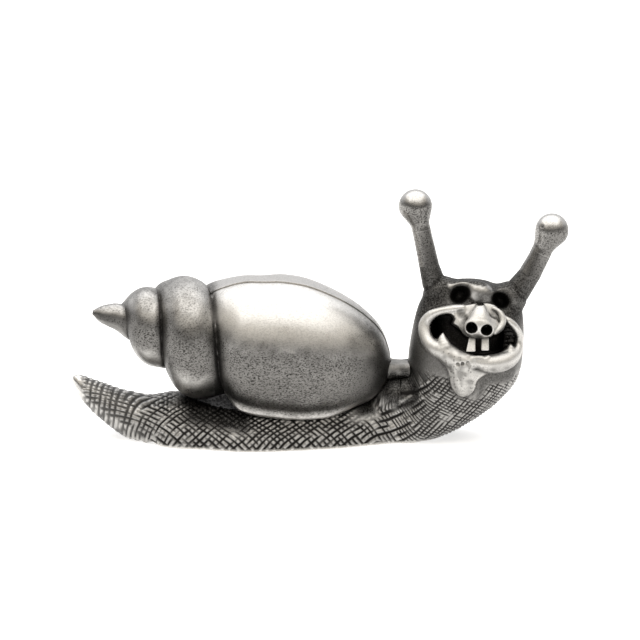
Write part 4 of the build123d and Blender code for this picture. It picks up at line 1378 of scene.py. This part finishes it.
@dataclass
class Shell:
    """The large whorl in two halves, and the spire."""

    form: ShellForm
    body_rows: int = 190
    half_columns: int = 210
    spire_rows: int = 190
    spire_columns: int = 400
    seam_lip: float = 0.10
    seam_ditch: float = 0.10
    lip_turn: float = math.radians(55.0)
    lip_height: float = 0.85
    lip_width: float = 0.80
    lip_start: Pair = (1.5, 4.5)
    lip_end: Pair = (16.5, 22.0)
    seam_widths: Triple = (0.22, 0.9, 0.25)  # ditch, ridge beside it, stain
    seam_radius: Pair = (1.0, 3.0)
    spire_crowding: float = 0.85
    body_crowding: float = 1.35
    seam_crowding: float = 1.15
    half_rounds: int = 5
    least_radius: float = 0.3
    widest: float = 0.9

    def values(self, place: Array, turn: Array, share: Array, raise_by: Array) -> dict[str, Array]:
        """What the winder needs at each point."""
        radius, lift = self.form.size(place)
        return {"place": place, "turn": turn, "radius": radius + raise_by, "lift": lift,
                "step": self.form.step(place, turn), "shown": self.form.shown(place), "share": share}

    def spire(self) -> Surface:
        """The spire as a sheet round its axis, closed at the tip and at the joint."""
        turn = np.linspace(-math.pi, math.pi, self.spire_columns, endpoint=False)
        end = self.form.joint(turn)
        part = np.linspace(0.0, 1.0, self.spire_rows)[:, None] ** self.spire_crowding
        place = -self.form.spire_length + part * (end[None] + self.form.spire_length)
        flat = np.stack([place, np.broadcast_to(turn, place.shape), np.zeros_like(place)], axis=-1)
        sheet = capped_tube(flat, np.array([-self.form.spire_length, 0, 0]), np.zeros(3))
        places, turns = sheet.points[:, 0], sheet.points[:, 1]
        share = np.ones(len(places))
        share[-2:] = 0.0
        sheet.values = self.values(places, turns, share, np.zeros(len(places)))
        return sheet

    def half(self, near: bool) -> Surface:
        """One half of the large whorl, closed along the seam and at the joint."""
        rows, columns = self.body_rows, self.half_columns
        centre = self.form.roll + (0.0 if near else math.pi)
        part = 1.0 - (1.0 - np.linspace(0.0, 1.0, rows)[:, None]) ** self.body_crowding
        fan = np.linspace(-1.0, 1.0, columns)[None]
        fan = np.sign(fan) * (1.0 - (1.0 - np.abs(fan)) ** self.seam_crowding)
        place = np.broadcast_to(part * self.form.body_length, (rows, columns))
        for _ in range(self.half_rounds):
            radius, lift = self.form.size(place)
            lean = lift * math.sin(self.form.roll) / np.maximum(radius, self.least_radius)
            open_turn = np.arccos(np.clip(lean, -self.widest, self.widest))
            turn = centre + fan * (open_turn if near else math.pi - open_turn)
            start = self.form.joint(turn)
            place = start + part * (self.form.body_length - start)
        gap = (1.0 - np.abs(fan)) * open_turn * radius
        ditch, ridge, stain = (
            np.exp(-(gap / width) ** 2) * ease(radius, *self.seam_radius) for width in self.seam_widths)
        seam = -self.seam_ditch * ditch if near else self.seam_lip * ridge
        lowest = np.abs(np.angle(np.exp(1j * (turn - self.lip_turn)))) * radius
        lip = self.lip_height * np.exp(-(lowest / self.lip_width) ** 2)
        seam = seam + lip * ease(place, *self.lip_start) * fade(place, *self.lip_end)
        grid = np.stack([place, turn, np.ones_like(place)], axis=-1)
        share = np.ones((rows, columns))
        share[-1] = 0.0
        core = np.stack([place[:, columns // 2], np.full(rows, centre), np.zeros(rows)], axis=-1)
        points = np.concatenate([grid.reshape(-1, 3), core])
        index = np.arange(rows * columns).reshape(rows, columns)
        spine = rows * columns + np.arange(rows)
        first = np.stack([index[:-1, 0], spine[:-1], spine[1:], index[1:, 0]], axis=1)
        last = np.stack([spine[:-1], index[:-1, -1], index[1:, -1], spine[1:]], axis=1)
        fan_end = np.stack([np.full(columns - 1, spine[0]), index[0, :-1], index[0, 1:]], axis=1)
        quads = np.concatenate([sheet_faces(rows, columns, wraps=False), first, last])
        sheet = Surface(points, quads, fan_end)
        shares, raised, stained, worn = (
            np.concatenate([values.ravel(), np.zeros(rows)])
            for values in (share, seam, stain if near else 0.0 * stain, lip / self.lip_height))
        sheet.values = self.values(points[:, 0], points[:, 1], shares, raised)
        sheet.values.update(seam=stained, lip=worn)
        return sheet

    def build(self, material: bpy.types.Material, slug: Slug) -> None:
        """Winds the three castings and marks their hollows, painted shade and painted light."""
        sheets = {
            "shell_spire": self.spire(), "shell_near_half": self.half(True),
            "shell_far_half": self.half(False)}
        for name, sheet in sheets.items():
            piece = Piece(name.replace("shell_", "wound_shell_"), sheet, Slot.SHELL, (name,))
            made = piece.build(material)
            ShellWinder(self.form).wind(made, material)
            made.data.set_sharp_from_angle(angle=CRISP)
            self.mark(made.data, slug)
            piece.declare(made)

    @staticmethod
    def read(mesh: bpy.types.Mesh, key: str) -> Array:
        """A value stored at each point of a mesh, or nought."""
        values = np.zeros(len(mesh.vertices), np.float32)
        if key in mesh.attributes:
            mesh.attributes[key].data.foreach_get("value", values)
        return values

    def mark(self, mesh: bpy.types.Mesh, slug: Slug) -> None:
        """Turns faces outwards and stores where the metal is black or rubbed, and where shade and light are
        painted on.
        """
        count = len(mesh.vertices)
        points, facing = np.empty(count * 3, np.float32), np.empty(count * 3, np.float32)
        mesh.vertices.foreach_get("co", points)
        mesh.vertex_normals.foreach_get("vector", facing)
        points, facing = points.reshape(-1, 3) / MM, facing.reshape(-1, 3)
        middle = points.mean(axis=0)
        if np.einsum("ij,ij->", points - middle, facing) < 0:
            mesh.flip_normals()
            facing = -facing
        x, _, z = points.T
        rise = facing[:, 2]
        suture, seam, rim_wear_and_reflection = (self.read(mesh, key) for key in ("suture", "seam", "lip"))
        # Painted shade on the shell near the foot, wider under the spire.
        crevice_shade = fade(slug.foot(points) / np.where(x < -10.0, 2.6, 0.25), 0.0, 1.0)
        # Painted shade low at the front, beside the neck.
        nook_shade = ease(x, 9.5, 12.5) * fade(z, 11.0, 15.0)
        # The grooves are darker where they face down: painted shade on their patina.
        depth = 0.32 + 0.52 * fade(rise, -0.3, 0.6)
        seam = seam * (0.05 + 0.60 * ease(x, 2.0, 9.0))
        shade = 0.62 * ease(x, 5.0, 11.0) * fade(rise, 0.1, 0.55)
        # Painted shade on the lower side of the spire's tip.
        tip = 0.55 * fade(x, -27.0, -19.0) * fade(rise, 0.2, 0.7)
        gloom = ease(x, -15.0, -13.0) * fade(x, -10.0, -8.6) * fade(z, 6.0, 8.2)
        black = np.maximum.reduce([suture**1.6 * depth, crevice_shade * 0.95, seam, nook_shade * 0.7, shade, tip, gloom])
        lit = ease(rise, -0.06, 0.46) * (1.0 - 0.55 * ease(x, 4.5, 11.0))
        lit = lit * (0.55 + 0.45 * ease(x, -13.5, -10.0))
        # Painted reflection on the underside of the spire's lowest whorl.
        belly_reflection = 0.55 * (x < -12.0) * fade(rise, -0.55, -0.15)
        # A little painted reflection on faces that look down.
        low = 0.14 * fade(rise, -0.70, -0.30)
        # The bead of the rim is rubbed and also carries a painted reflection.
        rub_and_light = np.clip(np.maximum.reduce([lit, rim_wear_and_reflection, belly_reflection]) + low - 0.3 * suture, 0.0, 1.0)
        for key, value in (("patina_and_shade", black), ("rub_and_light", rub_and_light)):
            store = mesh.attributes.new(key, "FLOAT", "POINT")
            store.data.foreach_set("value", value.astype(np.float32))


@dataclass
class FaceCasting:
    """The bright face mask and its two front teeth."""

    face: Face
    pitch: float = 0.105
    low: Triple = (16.2, -9.9, 5.2)
    high: Triple = (32.2, -0.3, 20.0)
    tooth_pitch: float = 0.05
    tooth_height: float = -2.2
    tooth_low: Triple = (1.2, 1.9, 2.9)
    tooth_high: Triple = (1.2, 1.9, 1.6)
    tooth_half_depth: float = 0.42
    tooth_slope: float = 0.36
    tooth_round: float = 0.2
    spots: int = 60
    spot_radius: float = 0.20

    def mask_surface(self) -> Surface:
        """The mask with its nose, lips and chin."""
        surface = skin(self.face.mask, np.array(self.low), np.array(self.high), self.pitch)
        hollow, high = relief(surface, 5, 50, 2.6)
        mouth = fade(self.face.mouth_form(surface.points), -0.25, 0.05)
        nostrils = fade(self.face.nostril_form(surface.points), 0.0, 0.10)
        dimples = np.minimum.reduce([away_from(surface.points, centre) for centre in self.face.dimples])
        shade = 0.75 * fade(dimples, 0.55, 1.0)
        black = np.maximum.reduce([hollow, mouth * 0.9, nostrils, shade, self.stain(surface.points)])
        surface.values["patina_and_shade"] = np.clip(black, 0.0, 1.0)
        rise = surface.normals()[:, 2]
        # Rubbed on the high places; the share by how far the face looks up is painted light.
        surface.values["rub_and_light"] = np.clip(0.40 + 0.5 * high + 0.45 * ease(rise, -0.5, 0.4), 0.0, 1.0)
        return surface

    def stain(self, points: Array) -> Array:
        """Blotches of old polish on the lower lip, the chin and the crease between them."""
        u, v, _ = self.face.spread(points)
        lip = fade(u, -2.6, 0.4) * fade(v, -4.2, -2.4)
        low = np.maximum(lip, fade(v, -6.6, -5.2))
        crease = fade(roll_distance(points, *self.face.crease), 0.0, 0.55)
        patches = ease(blotch(points, 2.4, 3) + 0.5 * blotch(points, 1.1, 4), -0.6, 1.6)
        stained = 0.52 * patches * low + 0.45 * crease * ease(blotch(points, 1.6, 5), -0.6, 0.6)
        spots = np.random.default_rng(8).uniform((-6.0, -9.6), (-0.4, -3.0), (self.spots, 2))
        nearest = np.min(np.hypot(u[:, None] - spots[:, 0], v[:, None] - spots[:, 1]), axis=1)
        return np.maximum(stained, 0.62 * fade(nearest, 0.05, self.spot_radius) * low)

    def tooth_surface(self, u: float, top: float, bottom: float, height: float) -> Surface:
        """A flared front tooth under the nose.

        Args:
            u: where it stands, to the right of the middle of the face.
            top: its width at the gum.
            bottom: its width at the end.
            height: its length from the gum to the end.

        Returns:
            The tooth, with painted shade at its root and its rubbed end.
        """
        root = self.face.lift(u, self.tooth_height, 0.0)

        def form(points: Array) -> Array:
            """Distance from the tooth."""
            across, up, out = self.face.spread(points, root)
            part = np.clip(-up / height, 0.0, 1.0)
            half = (top + (bottom - top) * part) / 2
            sides = np.abs(across + (bottom - top) / 2 * part) - half
            thick = np.abs(out - 0.10 + self.tooth_slope * up) - self.tooth_half_depth
            ends = np.abs(up + height / 2 - 0.3) - height / 2 - 0.3
            return overlap(overlap(sides, thick, self.tooth_round), ends, self.tooth_round)

        low, high = root - np.array(self.tooth_low), root + np.array(self.tooth_high)
        surface = skin(form, low, high, self.tooth_pitch)
        up = self.face.spread(surface.points, root)[1]
        # Painted shade at the root, under the muzzle.
        surface.values["patina_and_shade"] = ease(up, -0.45, 0.1) * 0.9
        surface.values["rub_and_light"] = np.full(len(up), 0.95)
        return surface

    def build(self, material: bpy.types.Material) -> None:
        """Makes the mask and the teeth."""
        surfaces = {
            ("face_casting", "face_mask"): self.mask_surface(),
            ("front_tooth_right", "tooth_right"): self.tooth_surface(-0.92, 0.9, 1.36, 1.95),
            ("front_tooth_left", "tooth_left"): self.tooth_surface(0.90, 1.02, 1.1, 1.8)}
        for (name, solid), surface in surfaces.items():
            piece = Piece(name, surface, Slot.POLISHED, (solid,))
            piece.declare(piece.build(material))


@dataclass
class EyeStalks:
    """The two stalks and their knobs."""

    stalks: list[Stalk]
    pit_depth: float = 0.15

    def build(self, material: bpy.types.Material) -> None:
        """Makes each stalk and its knob."""
        for stalk in self.stalks:
            joint = stalk.length - stalk.knob_neck
            shaft = stalk.tube(stalk.seat - stalk.sleeve, joint)
            knob = stalk.tube(joint, stalk.length + stalk.knob_radius)
            for kind, surface in (("stalk", shaft), ("knob", knob)):
                self.mark(stalk, surface)
                name = f"eye_{kind}_{stalk.side}"
                piece = Piece(f"cast_{name}", surface, Slot.POLISHED, (name,))
                piece.declare(piece.build(material))

    def mark(self, stalk: Stalk, surface: Surface) -> None:
        """Sinks the casting pit, and stores where the metal is black or pale, with painted shade and painted
        light on its flanks and top.
        """
        facing = surface.normals()
        height = (surface.points - np.array(stalk.root)) @ stalk.way - stalk.length
        # Paler towards the knob and darker towards the root.
        pale_metal = ease(height, -stalk.length, -1.0)
        # Painted shade: the flank that faces right stays dark, the one that faces left is lightened.
        side = 1.0 - 0.9 * ease(-facing[:, 0], 0.1, 0.8)
        pit = stalk.pitted(surface.points)
        surface.points -= self.pit_depth * pit[:, None] * facing
        surface.values["patina_and_shade"] = np.maximum((0.88 - 0.80 * pale_metal) * side, 0.85 * pit)
        # Painted light on the top of the knob and on the flank that faces left.
        lit = np.maximum(ease(facing[:, 2], 0.0, 0.75), 0.45 * (1.0 - side))
        surface.values["rub_and_light"] = 0.05 + (0.12 + 0.75 * lit) * np.maximum(pale_metal, 0.5)


@dataclass
class Lug:
    """The lug that ties the shell to the neck."""

    slug: Slug
    shell: ShellForm
    centre: Triple = (14.2, 0.0, 9.75)
    half: Triple = (3.2, 2.3, 1.45)
    waist: float = 0.32
    waist_reach: float = 2.2
    edge_round: float = 1.3
    seat_gap: float = 0.02
    seat_round: float = 0.05
    box: float = 3.6
    pitch: float = 0.09

    def build(self, material: bpy.types.Material) -> None:
        """Makes the lug between its two seats."""

        def form(points: Array) -> Array:
            """Distance from a waisted bar with rounded edges."""
            x, y, z = (points - np.array(self.centre)).T
            waist = self.waist * (1.0 - np.minimum((x / self.waist_reach) ** 2, 1.6))
            broad, thick = (np.abs(place) - half + waist for place, half in zip((y, z), self.half[1:]))
            bar = np.maximum(overlap(broad, thick, self.edge_round), np.abs(x) - self.half[0])
            for seat in (self.shell.distance(points), self.slug.neck(points)):
                bar = cut(bar, seat - self.seat_gap, self.seat_round)
            return bar

        surface = skin(form, np.array(self.centre) - self.box, np.array(self.centre) + self.box, self.pitch)
        stain = 0.16 * blotch(surface.points, 1.6, 6)
        shade = 0.84 - 0.25 * (surface.points[:, 2] - self.centre[2])
        surface.values["patina_and_shade"] = np.clip(shade + stain, 0.5, 0.97)
        surface.values["rub_and_light"] = np.full(len(surface.points), 0.7)
        piece = Piece("cast_lug", surface, Slot.ENGRAVED, ("neck_bridge",))
        piece.declare(piece.build(material))


@dataclass
class Studio:
    """Camera, lamps and floor."""

    view_width: float = 90.3
    elevation: float = math.radians(15.0)
    distance: float = 1000.0
    target: Triple = (2.82, 0.0, 16.87)
    floor_reach: float = 3.0
    floor_grey: float = 0.86
    floor_glow: float = 0.58
    ceiling: Triple = (0.82, 0.77, 0.69)
    front: Triple = (0.17, 0.165, 0.16)
    behind: Triple = (0.86, 0.86, 0.87)
    softbox_height: float = 0.34
    softbox_size: Pair = (0.62, 0.56)
    softbox_power: float = 1.25

    def camera(self) -> None:
        """A long lens at the photograph's angle."""
        data = bpy.data.cameras.new("camera")
        data.sensor_width = 36.0
        data.lens = data.sensor_width * self.distance / self.view_width
        data.clip_end = 20.0
        camera = show("camera", data)
        away = np.array([0.0, -math.cos(self.elevation), math.sin(self.elevation)])
        camera.location = (np.array(self.target) + away * self.distance) * MM
        camera.rotation_euler = (math.pi / 2 - self.elevation, 0.0, 0.0)
        bpy.context.scene.camera = camera

    def floor(self) -> None:
        """A pale floor, white to the eye, that keeps the shadow."""
        mesh = bpy.data.meshes.new("floor")
        around = ((-1, -1), (1, -1), (1, 1), (-1, 1))
        corners = [(x * self.floor_reach, y * self.floor_reach, 0) for x, y in around]
        mesh.from_pydata(corners, [], [(0, 1, 2, 3)])
        material, graph = Graph.of_material("white_table")
        path = graph.node("ShaderNodeLightPath")
        seen = Wire(graph, path.outputs["Is Camera Ray"])
        for other in ("Is Glossy Ray", "Is Transmission Ray"):
            seen = graph.math("MAXIMUM", seen, Wire(graph, path.outputs[other]))
        glow = graph.wire("ShaderNodeEmission", 0, {
            "Color": (1, 1, 1, SOLID), "Strength": seen * self.floor_glow})
        matt = graph.wire("ShaderNodeBsdfDiffuse", 0, {"Color": (self.floor_grey,) * 3 + (SOLID,)})
        both = graph.wire("ShaderNodeAddShader", 0, {0: glow, 1: matt})
        graph.node("ShaderNodeOutputMaterial", {"Surface": both})
        mesh.materials.append(material)
        floor = show("floor", mesh)

    def lamps(self) -> None:
        """One wide softbox overhead."""
        data = bpy.data.lights.new("softbox", "AREA")
        data.shape = "RECTANGLE"
        data.size, data.size_y = self.softbox_size
        data.energy = self.softbox_power
        lamp = show("softbox", data)
        lamp.location = (0.0, 0.03, self.softbox_height)

    def room(self) -> None:
        """A room that is dim in front, pale behind and warm towards the ceiling."""
        world = bpy.data.worlds.new("room")
        world.use_nodes = True
        bpy.context.scene.world = world
        graph = Graph(world.node_tree)
        way = graph.node("ShaderNodeSeparateXYZ", {0: graph.wire("ShaderNodeTexCoord", "Generated")})
        back, up = Wire(graph, way.outputs[1]), Wire(graph, way.outputs[2])
        warm = graph.blend(graph.ease(up, 0.15, 0.60), (*self.front, SOLID), (*self.ceiling, SOLID))
        pale = graph.blend(graph.ease(back, -0.15, 0.6), warm, (*self.behind, SOLID))
        lit = graph.node("ShaderNodeBackground", {"Color": pale, "Strength": 1.0})
        graph.node("ShaderNodeOutputWorld", {"Surface": Wire(graph, lit.outputs[0])})

    def build(self) -> None:
        """Sets up the studio."""
        bpy.context.scene.view_settings.view_transform = "Standard"
        self.camera()
        self.floor()
        self.lamps()
        self.room()


def main() -> None:
    """Builds the castings in order, dresses what is left of the solids and sets up the studio."""
    logging.basicConfig(level=logging.INFO)
    slug, shell_form = Slug(), ShellForm()
    face = Face(slug)
    stalks = [
        Stalk("right", (18.80, 0.0, 21.11), -11.9, 12.4),
        Stalk("left", (30.43, 0.0, 20.09), 27.4, 10.9, radius=1.55, pit=(-1.45, -1.66, 0.98))]
    engraved = PewterFinish("engraved_pewter", rub_and_light_share=0.9).material()
    satin = PewterFinish(
        "satin_shell_pewter", rub_and_light_share=1.0, speckle=0.78, speckle_pitch=0.17, mottle_pitch=2.4,
        mottle_share=1.1, brushed=0.55, bright_roughness=0.29).material()
    bright = PewterFinish(
        "rubbed_pewter", pale_metal=(0.74, 0.725, 0.695), rub_and_light_share=1.0, speckle=0.6,
        bright_roughness=0.46).material()
    dull = PewterFinish("dull_stalk_pewter", rub_and_light_share=0.9, speckle=0.8).material()
    SoftBody(slug, shell_form, face, stalks).build(engraved)
    Shell(shell_form).build(satin, slug)
    FaceCasting(face).build(bright)
    EyeStalks(stalks).build(dull)
    Lug(slug, shell_form).build(bright)
    brass = PegFinish().material()
    for name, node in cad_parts.items():
        if "peg" in name:
            node.data.materials.clear()
            node.data.materials.append(brass)
            LOG.info("%s: dressed in brass", name)
    Studio().build()


if __name__ == "__main__":
    main()
